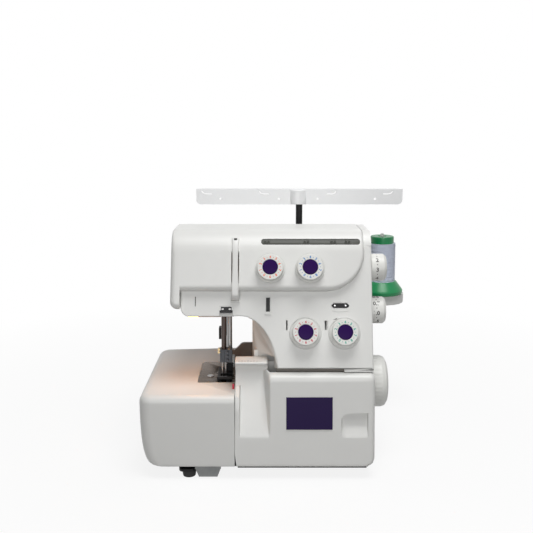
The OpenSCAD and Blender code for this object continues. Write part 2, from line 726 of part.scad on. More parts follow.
module handwheel() place(shell_white) {
    x = right_x + 2;
    difference() {
        translate([x, shaft_d, shaft_z]) rotate([0, 90, 0]) {
            cylinder(r = wheel_r, h = wheel_w - 7);
            translate([0, 0, wheel_w - 7]) cylinder(r1 = wheel_r, r2 = wheel_r - 6, h = 7);
        }
        rod_x(x - 1, x + wheel_w - 6, shaft_d, shaft_z, shaft_r);
    }
}

module main_shaft() place(steel) {
    rod_x(-39, right_x + 2 + wheel_w - 6, shaft_d, shaft_z, shaft_r);
    rod_x(80, 90, shaft_d, shaft_z, pulley_r);
    rod_x(-41.2, -39, shaft_d, shaft_z, 9);
}

module motor_pulley() place(steel) {
    rod_x(60, 91, motor_d, motor_z, 4);
    rod_x(80, 90, motor_d, motor_z, motor_pulley_r);
}

module motor() place(cast_grey) {
    difference() {
        union() {
            rod_x(-4, 76, motor_d, motor_z, motor_r);
            block(0, 70, motor_d - 18, motor_d + 18, pan_top, motor_z - motor_r + 5);
        }
        rod_x(58, 80, motor_d, motor_z, 4 + run_gap);
    }
}

module belt_loop(grow) {
    hull() {
        translate([shaft_d, shaft_z]) circle(r = pulley_r + grow);
        translate([motor_d, motor_z]) circle(r = motor_pulley_r + grow);
    }
}
module drive_belt() place(soft_black) {
    along_x(81, 89) difference() {
        belt_loop(2.4);
        belt_loop(0.4);
    }
}

module power_inlet() place(soft_black) {
    difference() {
        union() {
            block_x(right_x - 14, right_x + 1, inlet_d, inlet_z, inlet_size);
            // Collar outside the cover
            block_x(right_x, right_x + 1, inlet_d, inlet_z, inlet_size + [4, 4]);
        }
        block_x(right_x - 11, right_x + 2, inlet_d, inlet_z, inlet_size - [8, 6]);
    }
    // Two contact pins
    for (side = [-4, 4]) rod_x(right_x - 12, right_x - 3, inlet_d + side, inlet_z, 1.2);
}

module power_switch() place(soft_black) {
    // Rocker that tips about an upright pin
    front = inlet_d - switch_size[0] / 2;
    back = inlet_d + switch_size[0] / 2;
    along_z(switch_z - switch_size[1] / 2, switch_z + switch_size[1] / 2)
        polygon([[right_x - 9, front], [right_x + 2.2, front], [right_x + 0.6, inlet_d],
            [right_x + 0.4, back], [right_x - 9, back]]);
    pin_reach = switch_size[1] / 2 + 3.5;
    rod_z(switch_z - pin_reach, switch_z + pin_reach, switch_x, inlet_d, switch_pin_r);
}

// ---------------------------------------------------------------- stitch mechanism

module needle_bar() place(steel) { rod_z(head_z - 46, 236, needle_x, needle_d, needle_bar_r); }

clamp_z = [114, 129];
module needle_clamp() place([0.3, 0.31, 0.34]) {
    difference() {
        block(needle_x - 4.6, needle_x + 9.4, needle_d - 5.5, needle_d + 6, clamp_z[0], clamp_z[1]);
        rod_z(clamp_z[1] - 0.5, clamp_z[1] + 9, needle_x, needle_d, needle_bar_r);
    }
    for (z = [117, 121.5, 126]) rod_y(needle_d - 8, needle_d - 5.5, needle_x + 4, z, 1.6);
}

module needles() place(steel) {
    for (x = [-2, 2]) {
        rod_z(clamp_z[0] - 17, clamp_z[0], needle_x + x, needle_d, 0.7);
        translate([needle_x + x, needle_d, clamp_z[0] - 26]) cylinder(r1 = 0.1, r2 = 0.7, h = 9);
    }
}

foot_pivot_z = 104.5;
module presser_bar() place(steel) {
    difference() {
        union() {
            rod_z(foot_pivot_z + 5, 240, presser_x, presser_d, presser_bar_r);
            block(presser_x - 6, presser_x + 6, presser_d - 4, presser_d + 5, foot_pivot_z + 4, foot_pivot_z + 11);
            // Fork that holds the foot's pin
            for (x = [presser_x - 6, presser_x + 4.2])
                block(x, x + 1.8, presser_d - 3, presser_d + 3, foot_pivot_z - 2.6, foot_pivot_z + 5);
        }
        rod_x(presser_x - 10, presser_x + 10, presser_d, foot_pivot_z, 1.5 + run_gap);
    }
}

module presser_foot() place(soft_black) {
    sole = cloth_z + 0.4;
    difference() {
        union() {
            // Sole with a turned-up toe and a relieved heel
            along_x(needle_x - 7.5, needle_x + 9.5)
                polygon([[48.5, sole + 2.5], [52, sole], [presser_d - 3, sole], [presser_d + 8, sole + 2.4],
                    [presser_d + 8, sole + 5], [54, sole + 3.4], [48.5, sole + 5]]);
            block(presser_x - 3.6, presser_x + 3.6, presser_d - 5, presser_d + 5, sole + 2, foot_pivot_z + 2.5);
        }
        block(needle_x - 4.4, needle_x + 20, needle_d - 4.7, needle_d + 2.2, 0, 200);
    }
    rod_x(presser_x - 6, presser_x + 6, presser_d, foot_pivot_z, 1.5);
}

module presser_lever() place(soft_black) {
    rod_y(lever_d, body_depth + 6, lever_x, lever_z, 3);
    rod_y(body_depth + 2.4, body_depth + 5.4, lever_x, lever_z, 7);
    along_y(body_depth + 2.4, body_depth + 5.4)
        polygon([[lever_x - 7, lever_z], [-80.5, 114], [-74.5, 112], [lever_x + 7, lever_z]]);
    block(-84, -75, body_depth + 1.5, body_depth + 12, 111, 126);
}

// Slanted way of the upper looper, up and to the left
looper_dir = [-0.6, 0, 0.8];
looper_tip = [-57.5, 59.3, 88.5];
module upper_looper_rod(r, more) {
    translate(looper_tip - looper_dir * (48 + more)) rotate([0, atan2(-0.6, 0.8), 0])
        cylinder(r = r, h = 30 + more);
}
module upper_looper() place(steel) {
    upper_looper_rod(2.5, 0);
    along_y(looper_tip[1] - 0.9, looper_tip[1] + 0.9)
        polygon([[looper_tip[0], looper_tip[2]], [looper_tip[0] + 10.4, looper_tip[2] - 18],
            [looper_tip[0] + 14, looper_tip[2] - 15]]);
}

module lower_looper() place(steel) {
    y = [63.3, 64.9];
    along_y(y[0], y[1]) translate(looper_pivot)
        polygon(concat(arc([0, 0], 48, 99, 124, 8), arc([0, 0], 45.5, 122, 104, 8), [[-1.5, 2]], [[3, 2]]));
    rod_y(y[0], 90, looper_pivot[0], looper_pivot[1], 4);
}

module upper_knife() place(steel) {
    along_x(-52, -50)
        polygon([[66.2, cloth_z + 3], [75.5, cloth_z + 4.5], [75.5, cloth_z + 16], [66.2, cloth_z + 16]]);
    block(-50.1, post_x + 2.5, post_d - 3, post_d + 3, cloth_z + 9, cloth_z + 16);
    rod_z(46, cloth_z + 12, post_x, post_d, 2.5);
}

// A toothed pair of rails on one carrier; from and to are their ends
module feed_rails(from, to) {
    teeth = 5;
    step = (to - from) / teeth;
    for (x = [-78, -68]) along_x(x, x + 3)
        polygon(concat([[from, cloth_z - 10], [to, cloth_z - 10]],
            [for (i = [teeth - 1:-1:0], k = [1, 0]) [from + step * (i + k), cloth_z - 1 - (k == 1 ? 0 : 1)]]));
    block(-79, -64, from, to, cloth_z - 16, cloth_z - 9.5);
}
module feed_dog() place(steel) {
    feed_rails(67.5, 88);
    block(needle_x - 4, needle_x + 4, 80, 92, 70, cloth_z - 15.5);
    rod_y(91, 106, needle_x, 74, 2.5);
}
module differential_feed_dog() place(steel) {
    feed_rails(49.5, 56.5);
    block(needle_x - 4, needle_x + 4, 49.5, 56, 70, cloth_z - 15.5);
    rod_y(33, 50, needle_x, 74, 2.5);
}

module take_up_lever() place(soft_black) {
    rod_x(take_up_x - 2.5, upright_x[0] + upright_t, 84, 235, 3);
    rod_x(take_up_x - 1.6, take_up_x + 1.6, 84, 235, 6);
    along_x(take_up_x - 1.6, take_up_x + 1.6) polygon([[84, 230], [84, 240], [52, 246], [50, 243]]);
}

// ---------------------------------------------------------------- looper cover

hinge_brackets = [-14, 36, 86];
knuckles = [[-2, 10], [58, 70]];

cover_profile = concat(
    [[0, skirt_z]],
    arc([hinge_d, hinge_z], hinge_reach, -atan2(hinge_rise, hinge_d), 0, 5),
    [[cover_d, cover_z]],
    arc([cover_lean_d + cover_r, cover_z - cover_r], cover_r, 90, 180, 6));

// Side view of the scoop's surface, from the shelf's edge down the ramp
shelf_d0 = 20;
shelf_d1 = 42;
cover_travel = 5;
swing_top = hinge_z + norm([shelf_d1 - hinge_d, shelf_z - hinge_z]);
notch_x = scoop_x + cover_travel + 0.5;
notch_z = swing_top + 0.4;
lip_x = 63;
lip_z = hinge_z + norm([cover_d - hinge_d, cover_z - hinge_z]) + 0.6;
scoop_back = cover_d + 10.6;
scoop_line = [[shelf_d0, shelf_z], [shelf_d0, shelf_z - shelf_t], [scoop_back - 1.5, shelf_z - 6.5],
    [scoop_back, shelf_z - 14], [scoop_back - 3, shelf_z - 22.7], [cover_at(48) - 0.2, 48]];
thumb = [59, 47, 88.4, 74];
thumb_depth = 8;

module looper_cover() place(shell_white) {
    difference() {
        union() {
            difference() {
                along_x(cover_x, cover_x1) polygon(cover_profile);
                along_x(cover_x + wall, cover_x1 - wall) polygon(inset(cover_profile, wall));
                block(cover_x + wall, cover_x1 - wall, wall, 60, 0, skirt_z + wall + 0.1);
                block(cover_x + wall, cover_x1 - wall, hinge_d + 2, 60, 0, cover_z - wall);
                // Room for the scoop
                along_x(cover_x - 1, scoop_x) polygon(concat([[-2, 48]], [for (i = [5:-1:0]) scoop_line[i]],
                    [[shelf_d0, shelf_z + 5], [-2, shelf_z + 5]]));
            }
            // Wall of the scoop
            along_x(cover_x, scoop_x + 0.1) polygon(concat(scoop_line, [[cover_at(44) + 0.5, 44],
                [cover_at(44) + 3.4, 44], [scoop_back - 0.2, shelf_z - 23.4], [scoop_back + 2.6, shelf_z - 14],
                [scoop_back + 1.5, shelf_z - shelf_t - 0.5], [scoop_back + 2, shelf_z - shelf_t],
                [scoop_back + 2, shelf_z]]));
            block(cover_x - 0.3, -21.5, shelf_d0, shelf_d1, shelf_z - shelf_t, shelf_z);
            // Right web of the scoop and its left end
            along_x(scoop_x, scoop_x + wall) polygon([[cover_at(44), 44], [cover_at(44) + 3, 44],
                [scoop_back + 2.6, shelf_z - 18], [scoop_back + 2.6, cover_z], [cover_lean_d + cover_r, cover_z],
                [cover_lean_d + 2.4, cover_z - 2.4], [cover_lean_d, cover_z - cover_r]]);
            // Pocket of the thumb grip
            block(thumb[0] - wall, thumb[2] + wall, cover_at(44) + 1, thumb_depth + wall, thumb[1] - wall, thumb[3] + wall);
            // Hinge knuckles
            for (k = knuckles) rod_x(k[0], k[1], hinge_d, hinge_z, 5.4);
        }
        along_y(-5, thumb_depth) polygon(concat([[thumb[0], thumb[1]], [thumb[2], thumb[1]], [thumb[2], thumb[3]]],
            arc([thumb[0] + 10, thumb[3] - 10], 10, 90, 180, 5)));
        for (k = knuckles) rod_x(k[0] - 1, k[1] + 1, hinge_d, hinge_z, 3.5 + run_gap);
    }
}

module cover_hinge_pin() place(steel) {
    rod_x(hinge_brackets[0] - 2, hinge_brackets[2] + 2, hinge_d, hinge_z, 2);
}

module cover_hinge_sleeves() place(steel) {
    for (k = knuckles) difference() {
        rod_x(k[0] - 1.5, k[1] + 1.5, hinge_d, hinge_z, 3.5);
        rod_x(k[0] - 3, k[1] + 3, hinge_d, hinge_z, 2 + run_gap);
    }
}

badge = [-1, 56, 49.5, 91.5];
module badge_plate() place(violet) {
    along_x(badge[0], badge[2]) polygon([[cover_at(badge[1]) - 0.8, badge[1]], [cover_at(badge[1]), badge[1]],
        [cover_at(badge[3]), badge[3]], [cover_at(badge[3]) - 0.8, badge[3]]]);
}

// ---------------------------------------------------------------- cloth plate

// Front, side and top views of the cloth plate
cloth_front = concat([[cloth_edge_x, skirt_z]], [[cloth_edge_x, cloth_z]],
    arc([cloth_x + 9, cloth_z - 9], 9, 90, 180, 6),
    [[cloth_x + 0.3, 60], [cloth_x + 2, 38]],
    arc([cloth_x + 15, skirt_z + 12], 12, 195, 270, 5));
cloth_side = concat([[0, skirt_z], [cloth_depth, skirt_z]],
    arc([cloth_depth - cloth_r, cloth_z - cloth_r], cloth_r, 0, 90, 6),
    arc([cloth_r, cloth_z - cloth_r], cloth_r, 90, 180, 6));
cloth_top = concat([[cloth_edge_x, 0], [cloth_edge_x, cloth_depth]],
    arc([cloth_x + cloth_corner_r, cloth_depth - 8 - cloth_corner_r], cloth_corner_r, 97, 180, 6),
    arc([cloth_x + cloth_corner_r, cloth_corner_r], cloth_corner_r, 180, 270, 6));

module cloth_solid(t) {
    intersection() {
        along_y(-1, cloth_depth + 1) polygon(inset(cloth_front, t));
        along_x(cloth_x - 1, cloth_edge_x + 1) polygon(inset(cloth_side, t));
        along_z(0, cloth_z + 1) polygon(inset(cloth_top, t));
    }
}
module cloth_plate() place(shell_white) {
    difference() {
        cloth_solid(0);
        cloth_solid(wall);
        // Open bottom and open right side
        block(cloth_x + 17, cloth_edge_x + 1, wall + 0.5, cloth_depth - 9.5 - wall, 0, skirt_z + wall + 0.1);
        block(cloth_edge_x - wall - 1, cloth_edge_x + 1, wall, cloth_depth - wall, 0, cloth_z - cloth_r);
        block(cloth_edge_x - wall - 1, cloth_edge_x + 1, cloth_r, cloth_depth - cloth_r, 0, cloth_z - wall);
        // Notch around the needle plate
        block(plate_x - 0.5, 0, plate_d0 - 0.4, plate_d1 + 0.4, cloth_z - 10, cloth_z + 10);
    }
}

// ---------------------------------------------------------------- spool stand

pole_x = 19.5;
pole_d = body_depth + 20;
pin_d = pole_d + 25;
pins = [for (i = [-1.5:1:1.5]) pole_x + i * pin_pitch];
tray_top = tray_z + tray_t;
lobe_r = 30.75;

module spool_stand() place(shell_white) {
    difference() {
        union() {
            along_z(tray_z, tray_top) polygon(concat(
                [[-52, body_depth], [right_x - 8, body_depth], [right_x + 8, body_depth + 16]],
                arc([pins[3], tray_depth - lobe_r], lobe_r, -100, 90, 10),
                arc([pins[0], tray_depth - lobe_r], lobe_r, 90, 250, 8),
                [[-60, body_depth + 18]]));
            rod_z(tray_z - 14, tray_z + 1, pole_x, pole_d, 11);
            block(pole_x - 11, pole_x + 11, body_depth, pole_d, tray_z - 14, tray_z + 1);
        }
        rod_z(tray_z - 20, tray_top + 9, pole_x, pole_d, rod_r + 2);
        for (x = pins) rod_z(tray_z - 1, tray_top + 1, x, pin_d, pin_r + 1);
    }
}

module spool_pins() place(shell_white) {
    for (x = pins) {
        rod_z(tray_z, tray_top, x, pin_d, pin_r + 1);
        rod_z(tray_top - 0.5, tray_top + 78, x, pin_d, pin_r);
        translate([x, pin_d, tray_top + 78]) cylinder(r1 = pin_r, r2 = pin_r - 1.5, h = 3);
    }
}

tube_top = 255;
module guide_tube() place(steel) {
    difference() {
        rod_z(tray_z - 14, tube_top, pole_x, pole_d, rod_r + 2);
        rod_z(tray_z - 10, tube_top + 1, pole_x, pole_d, rod_r + run_gap);
    }
}
module guide_rod() place(soft_black) { rod_z(tray_z - 9, bar_z - 3, pole_x, pole_d, rod_r); }

bar_d = pole_d - 8.5;
module thread_guide_bar() place(shell_white) {
    x0 = pole_x - bar_len / 2;
    x1 = pole_x + bar_len / 2;
    difference() {
        union() {
            along_y(bar_d, bar_d + wall) polygon(concat(
                arc([x0 + 6, bar_z - bar_h + 6], 6, 180, 270, 5), arc([x1 - 6, bar_z - bar_h + 6], 6, 270, 360, 5),
                [[x1, bar_z], [x0, bar_z]]));
            block(x0, x1, bar_d, bar_d + 14, bar_z - wall, bar_z);
            rod_z(bar_z - bar_h, bar_z, pole_x, pole_d, 8.5);
        }
        rod_z(bar_z - bar_h - 1, bar_z - 3, pole_x, pole_d, rod_r);
        for (s = [-1, 1], k = [26, 99]) {
            rod_y(bar_d - 1, bar_d + 4, pole_x + s * k, bar_z - 12.5, 1.5);
            block(pole_x + s * (k + 17.5) - 5.5, pole_x + s * (k + 17.5) + 5.5, bar_d - 1, bar_d + 4, bar_z - 7.5, bar_z - 5.5);
        }
    }
}

spool_z = tray_top + 0.4;
module thread_spool() place([0.7, 0.74, 0.8]) {
    translate([pins[3], pin_d, spool_z]) difference() {
        translate([0, 0, 17]) cylinder(r = thread_r, h = 51);
        translate([0, 0, 16]) cylinder(r = thread_r - 6.9, h = 53);
    }
}
module spool_caps() place(spool_green) {
    translate([pins[3], pin_d, spool_z]) difference() {
        union() {
            cylinder(r1 = 26, r2 = 28, h = 5);
            translate([0, 0, 5]) cylinder(r1 = 28, r2 = thread_r + 2, h = 12);
            translate([0, 0, 17]) cylinder(r = thread_r - 7, h = 51);
            translate([0, 0, 68]) cylinder(r = 15.5, h = 9);
        }
        translate([0, 0, -1]) cylinder(r = pin_r + run_gap, h = 80);
    }
}

base_pan();
rubber_feet();
main_frame();
front_panel();
head_cover();
rear_cover();
right_cover();
bed_guard();
needle_plate();
screws();
lower_knife();
lamp_bulb();
upper_thread_guide();
take_up_cover();
needle_thread_guide();
looper_thread_guides();
tension_posts();
tension_stacks();
spool_stand();
spool_pins();
guide_tube();
motor();
drive_belt();
power_inlet();
power_switch();
cover_hinge_pin();
cover_hinge_sleeves();
looper_cover();
badge_plate();
cloth_plate();
tension_dial_1();
tension_dial_2();
tension_dial_3();
tension_dial_4();
dial_cap_1();
dial_cap_2();
dial_cap_3();
dial_cap_4();
stitch_length_knob();
feed_ratio_knob();
handwheel();
main_shaft();
motor_pulley();
needle_bar();
needle_clamp();
needles();
presser_bar();
presser_foot();
presser_lever();
upper_looper();
lower_looper();
upper_knife();
feed_dog();
differential_feed_dog();
take_up_lever();
guide_rod();
thread_guide_bar();
thread_spool();
spool_caps();
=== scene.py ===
"""Serger overlock machine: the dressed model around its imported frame.

Sizes are in millimetres here, as x, depth behind the front plane, and height over the table;
place() turns them into the frame's metres.
"""

import json
import math

import bmesh
import bpy
import numpy as np
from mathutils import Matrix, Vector
from mathutils.geometry import tessellate_polygon


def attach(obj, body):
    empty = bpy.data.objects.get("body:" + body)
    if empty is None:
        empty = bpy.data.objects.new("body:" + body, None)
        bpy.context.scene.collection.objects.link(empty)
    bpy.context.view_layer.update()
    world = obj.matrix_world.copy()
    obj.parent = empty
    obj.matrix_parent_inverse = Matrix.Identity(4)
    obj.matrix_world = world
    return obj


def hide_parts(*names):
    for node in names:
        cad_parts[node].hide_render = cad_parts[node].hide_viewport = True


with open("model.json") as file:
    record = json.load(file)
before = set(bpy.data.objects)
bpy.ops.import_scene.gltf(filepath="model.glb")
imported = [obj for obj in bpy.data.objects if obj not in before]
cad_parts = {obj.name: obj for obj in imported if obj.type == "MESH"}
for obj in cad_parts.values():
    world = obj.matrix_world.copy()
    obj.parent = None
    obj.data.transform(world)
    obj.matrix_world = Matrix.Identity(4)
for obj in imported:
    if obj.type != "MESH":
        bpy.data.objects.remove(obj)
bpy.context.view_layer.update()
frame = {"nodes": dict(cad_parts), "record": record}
scene = bpy.context.scene
nodes_of_frame = frame["nodes"]
body_of = {n: b for b, names in frame["record"]["behaviour"]["bodies"].items() for n in names}
slot_of = {p["node"]: p["material_slot"] for p in frame["record"]["subparts"]}

MM = 0.001
FRONT = -122.0

# Sizes shared with the solids
RIGHT_X, HEAD_X, END_X = 95.0, -118.0, -129.0
SKIRT_Z, PANEL_Z, SEAM_Z, HEAD_Z, TOP_Z = 14.5, 120.0, 203.0, 174.5, 267.0
PANEL_D, LEAN = 16.0, math.radians(14.8)
BULGE_D, BULGE_LEAN, BULGE_X, SWEEP_R = 30.0, math.radians(18), 86.0, 43.0
SPLIT_D = 112.0
COVER_Z = 115.5
DIALS = ((-18.5, 227.5, 1.8), (25.3, 227.5, 1.8), (20.3, 157.2, 2.8), (63.4, 157.2, 2.8))
DIAL_TILT, DIAL_R, DIAL_H, CAP_R = math.radians(22), 16.0, 12.0, 8.3
KNOB_D, KNOB_R, KNOB_H, KNOB_Z = 67.0, 15.5, 18.0, (223.5, 173.5)
SHAFT_D, SHAFT_Z, WHEEL_R, WHEEL_W = 71.0, 87.5, 29.5, 20.0
PINS_X, PIN_D = (-92.25, -17.75, 56.75, 131.25), 205.0
POLE_X, POLE_D, BAR_D, BAR_Z, BAR_H, BAR_LEN = 19.5, 180.0, 171.5, 304.5, 19.5, 263.0
SPOOL_Z, THREAD_R = 162.4, 18.0


def face_at(z):
    """Depth of the leaning front panel at a height."""
    return PANEL_D + (z - PANEL_Z) * math.tan(LEAN)


def bulge_at(z):
    """Depth of the upper cover's leaning front at a height."""
    return BULGE_D + (z - SEAM_Z - 7) * math.tan(BULGE_LEAN)


# ------------------------------------------------------------------ mesh tools


def place(points):
    """Millimetres, with depth from the front plane, to the frame's metres."""
    p = np.array(points, float).reshape(-1, 3) * MM
    p[:, 1] += FRONT * MM
    return p


def grid_faces(rows, cols, wrap=False, flip=False):
    """Quads between rows of points; wrap joins each row's end to its start."""
    r, c = np.meshgrid(np.arange(rows - 1), np.arange(cols if wrap else cols - 1), indexing="ij")
    c1 = (c + 1) % cols
    low, high = r * cols, (r + 1) * cols
    quads = np.stack([low + c, low + c1, high + c1, high + c], -1).reshape(-1, 4)
    return (quads[:, ::-1] if flip else quads).tolist()


def skin(loops, wrap=True, first=False, last=False, flip=False):
    """Surface through a stack of loops, closed at either end by one face where asked."""
    loops = np.asarray(loops, float)
    rows, cols = loops.shape[:2]
    faces = grid_faces(rows, cols, wrap, flip)
    ends = [list(range(cols))[:: 1 if flip else -1]] if first else []
    if last:
        ends.append(list(range((rows - 1) * cols, rows * cols))[:: -1 if flip else 1])
    return loops.reshape(-1, 3), faces + ends


def join(*parts):
    """Several (points, faces) pairs as one."""
    points, faces, base = [], [], 0
    for v, f in parts:
        points.append(np.asarray(v, float).reshape(-1, 3))
        faces += [[i + base for i in face] for face in f]
        base += len(points[-1])
    return np.vstack(points), faces


def basis(axis):
    """Two unit vectors square to an axis."""
    axis = np.asarray(axis, float) / np.linalg.norm(axis)
    side = np.cross(axis, (0, 0, 1)) if abs(axis[2]) < 0.9 else np.cross(axis, (0, 1, 0))
    side /= np.linalg.norm(side)
    return side, np.cross(axis, side), axis


def lathe(origin, axis, profile, turns=64, ripple=None, frame3=None):
    """Profile rows (radius, height) turned about an axis: origin + r(a,h)(u cos a + v sin a) + h axis.

    ripple(angle, radius, height) gives what is added to the radius.
    """
    u, v, w = frame3 if frame3 is not None else basis(axis)
    prof = np.asarray(profile, float)
    a = np.linspace(0, 2 * np.pi, turns, endpoint=False)
    r, h = prof[:, :1] + 0 * a, prof[:, 1:2] + 0 * a
    if ripple is not None:
        r = r + ripple(a[None, :] + 0 * r, r, h)
    ring = r[..., None] * (np.cos(a)[None, :, None] * u + np.sin(a)[None, :, None] * v)
    loops = np.asarray(origin, float) + ring + h[..., None] * w
    return skin(loops, flip=True, first=True, last=True)


def rounded(profile, radius, steps=4):
    """A profile whose inner corners become arcs of the given radius, limited to 0.45 of each side."""
    p = np.asarray(profile, float)
    out = [p[0]]
    for a, b, c in zip(p[:-2], p[1:-1], p[2:]):
        u, v = a - b, c - b
        lu, lv = np.linalg.norm(u), np.linalg.norm(v)
        turn = math.acos(np.clip(np.dot(u, v) / (lu * lv), -1, 1))
        cut = min(radius / max(math.tan(turn / 2), 1e-3), 0.45 * lu, 0.45 * lv)
        p0, p1 = b + u / lu * cut, b + v / lv * cut
        t = np.linspace(0, 1, steps + 1)[:, None]
        out += list((1 - t) ** 2 * p0 + 2 * t * (1 - t) * b + t ** 2 * p1)
    return np.array(out + [p[-1]])


def box_faces(x0, x1, d0, d1, z0, z1, r=0.4, steps=3):
    """Box whose upright edges are arcs of radius r and whose ends are drawn in by quarter rounds of r."""
    r = min(r, 0.49 * (x1 - x0), 0.49 * (d1 - d0), 0.49 * (z1 - z0))
    a = np.concatenate([np.linspace(q, q + np.pi / 2, steps + 1)
                        for q in (np.pi, 1.5 * np.pi, 0, 0.5 * np.pi)])
    cx = np.repeat([x0 + r, x1 - r, x1 - r, x0 + r], steps + 1)
    cd = np.repeat([d0 + r, d0 + r, d1 - r, d1 - r], steps + 1)
    t = np.linspace(0, np.pi / 2, steps + 1)
    levels = [(r * math.sin(x), z0 + r - r * math.cos(x)) for x in t]
    levels += [(r * math.cos(x), z1 - r + r * math.sin(x)) for x in t]
    loops = [np.stack([cx + k * np.cos(a), cd + k * np.sin(a), 0 * a + z], -1) for k, z in levels]
    return skin(loops, first=True, last=True)


def outward(part, centre):
    """Faces turned so that each looks away from a centre."""
    points, faces = part
    turned_faces = []
    for face in faces:
        ring = points[face]
        area = sum(np.cross(ring[i] - ring[0], ring[i + 1] - ring[0]) for i in range(1, len(ring) - 1))
        turned_faces.append(face if np.dot(area, ring.mean(0) - centre) >= 0 else face[::-1])
    return points, turned_faces


def piece(name, part, material, body, replaces=(), sharp=35.0, bevel=0.0, segments=2, wall=0.0,
          merge=True):
    """A new object from (points, faces) in millimetres, riding on a body; wall makes a shell of it."""
    mesh = bpy.data.meshes.new(name)
    mesh.from_pydata(place(part[0]).tolist(), [], [list(map(int, f)) for f in part[1]])
    if merge:
        bm = bmesh.new()
        bm.from_mesh(mesh)
        bmesh.ops.remove_doubles(bm, verts=bm.verts, dist=2e-6)
        bm.to_mesh(mesh)
        bm.free()
    mesh.validate()
    mesh.materials.append(material)
    mesh.shade_smooth()
    mesh.set_sharp_from_angle(angle=math.radians(sharp))
    obj = bpy.data.objects.new(name, mesh)
    scene.collection.objects.link(obj)
    if bevel:
        add_bevel(obj, bevel, segments, angle=40)
    if wall:
        shell = obj.modifiers.new("wall", "SOLIDIFY")
        shell.thickness = wall * MM
        shell.offset = -1
    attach(obj, body)
    if replaces:
        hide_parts(*replaces)
    return obj


def add_bevel(obj, width, segments=2, angle=32, weights=False):
    """Rounds the edges that turn more than an angle, or those that carry a weight."""
    mod = obj.modifiers.new("rounded_edges", "BEVEL")
    mod.width = width * MM
    mod.segments = segments
    mod.limit_method = "WEIGHT" if weights else "ANGLE"
    mod.angle_limit = math.radians(angle)
    mod.use_clamp_overlap = not weights
    mod.harden_normals = True
    mod.miter_outer = "MITER_ARC"
    return mod


def dressed(node, material, width=0.3, segments=2, pick=None, name=None, join_flat=True):
    """Copy of a solid: doubles merged, flat parts joined unless told not to, edges rounded.

    pick(middle points) gives each edge's share of the width, from 0 to 1.
    """
    mesh = nodes_of_frame[node].data.copy()
    mesh.materials.clear()
    mesh.materials.append(material)
    bm = bmesh.new()
    bm.from_mesh(mesh)
    bmesh.ops.remove_doubles(bm, verts=bm.verts, dist=2e-6)
    if join_flat:
        bmesh.ops.dissolve_limit(bm, angle_limit=math.radians(0.3), verts=bm.verts, edges=bm.edges)
    bm.to_mesh(mesh)
    turn = np.array([e.calc_face_angle(0.0) for e in bm.edges])
    middle = np.array([(e.verts[0].co + e.verts[1].co) / 2 for e in bm.edges])
    bm.free()
    obj = bpy.data.objects.new(name or node + "_piece", mesh)
    scene.collection.objects.link(obj)
    mesh.shade_smooth()
    mesh.set_sharp_from_angle(angle=math.radians(32))
    if pick is not None:
        middle[:, 1] -= FRONT * MM
        weight = np.where(turn > math.radians(32), pick(middle / MM), 0.0)
        layer = mesh.attributes.new("bevel_weight_edge", "FLOAT", "EDGE")
        layer.data.foreach_set("value", weight.astype(np.float32))
    if width:
        add_bevel(obj, width, segments, weights=pick is not None)
    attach(obj, body_of[node])
    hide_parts(node)
    return obj


# ------------------------------------------------------------------ shader groups


def new_group(name, inputs, outputs):
    """Empty shader node group with float and vector inputs and named outputs."""
    group = bpy.data.node_groups.new(name, "ShaderNodeTree")
    for label, kind, value in inputs:
        socket = group.interface.new_socket(label, in_out="INPUT", socket_type="NodeSocket" + kind)
        if value is not None:
            socket.default_value = value
    for label, kind in outputs:
        group.interface.new_socket(label, in_out="OUTPUT", socket_type="NodeSocket" + kind)
    return group, group.nodes.new("NodeGroupInput"), group.nodes.new("NodeGroupOutput")


def node(tree, kind, **values):
    """A shader node; keys are its properties, or its inputs where they start with in_."""
    made = tree.nodes.new("ShaderNode" + kind)
    for key, value in values.items():
        if key.startswith("in_"):
            made.inputs[int(key[3:]) if key[3:].isdigit()
                        else key[3:].replace("_", " ")].default_value = value
        else:
            setattr(made, key, value)
    return made


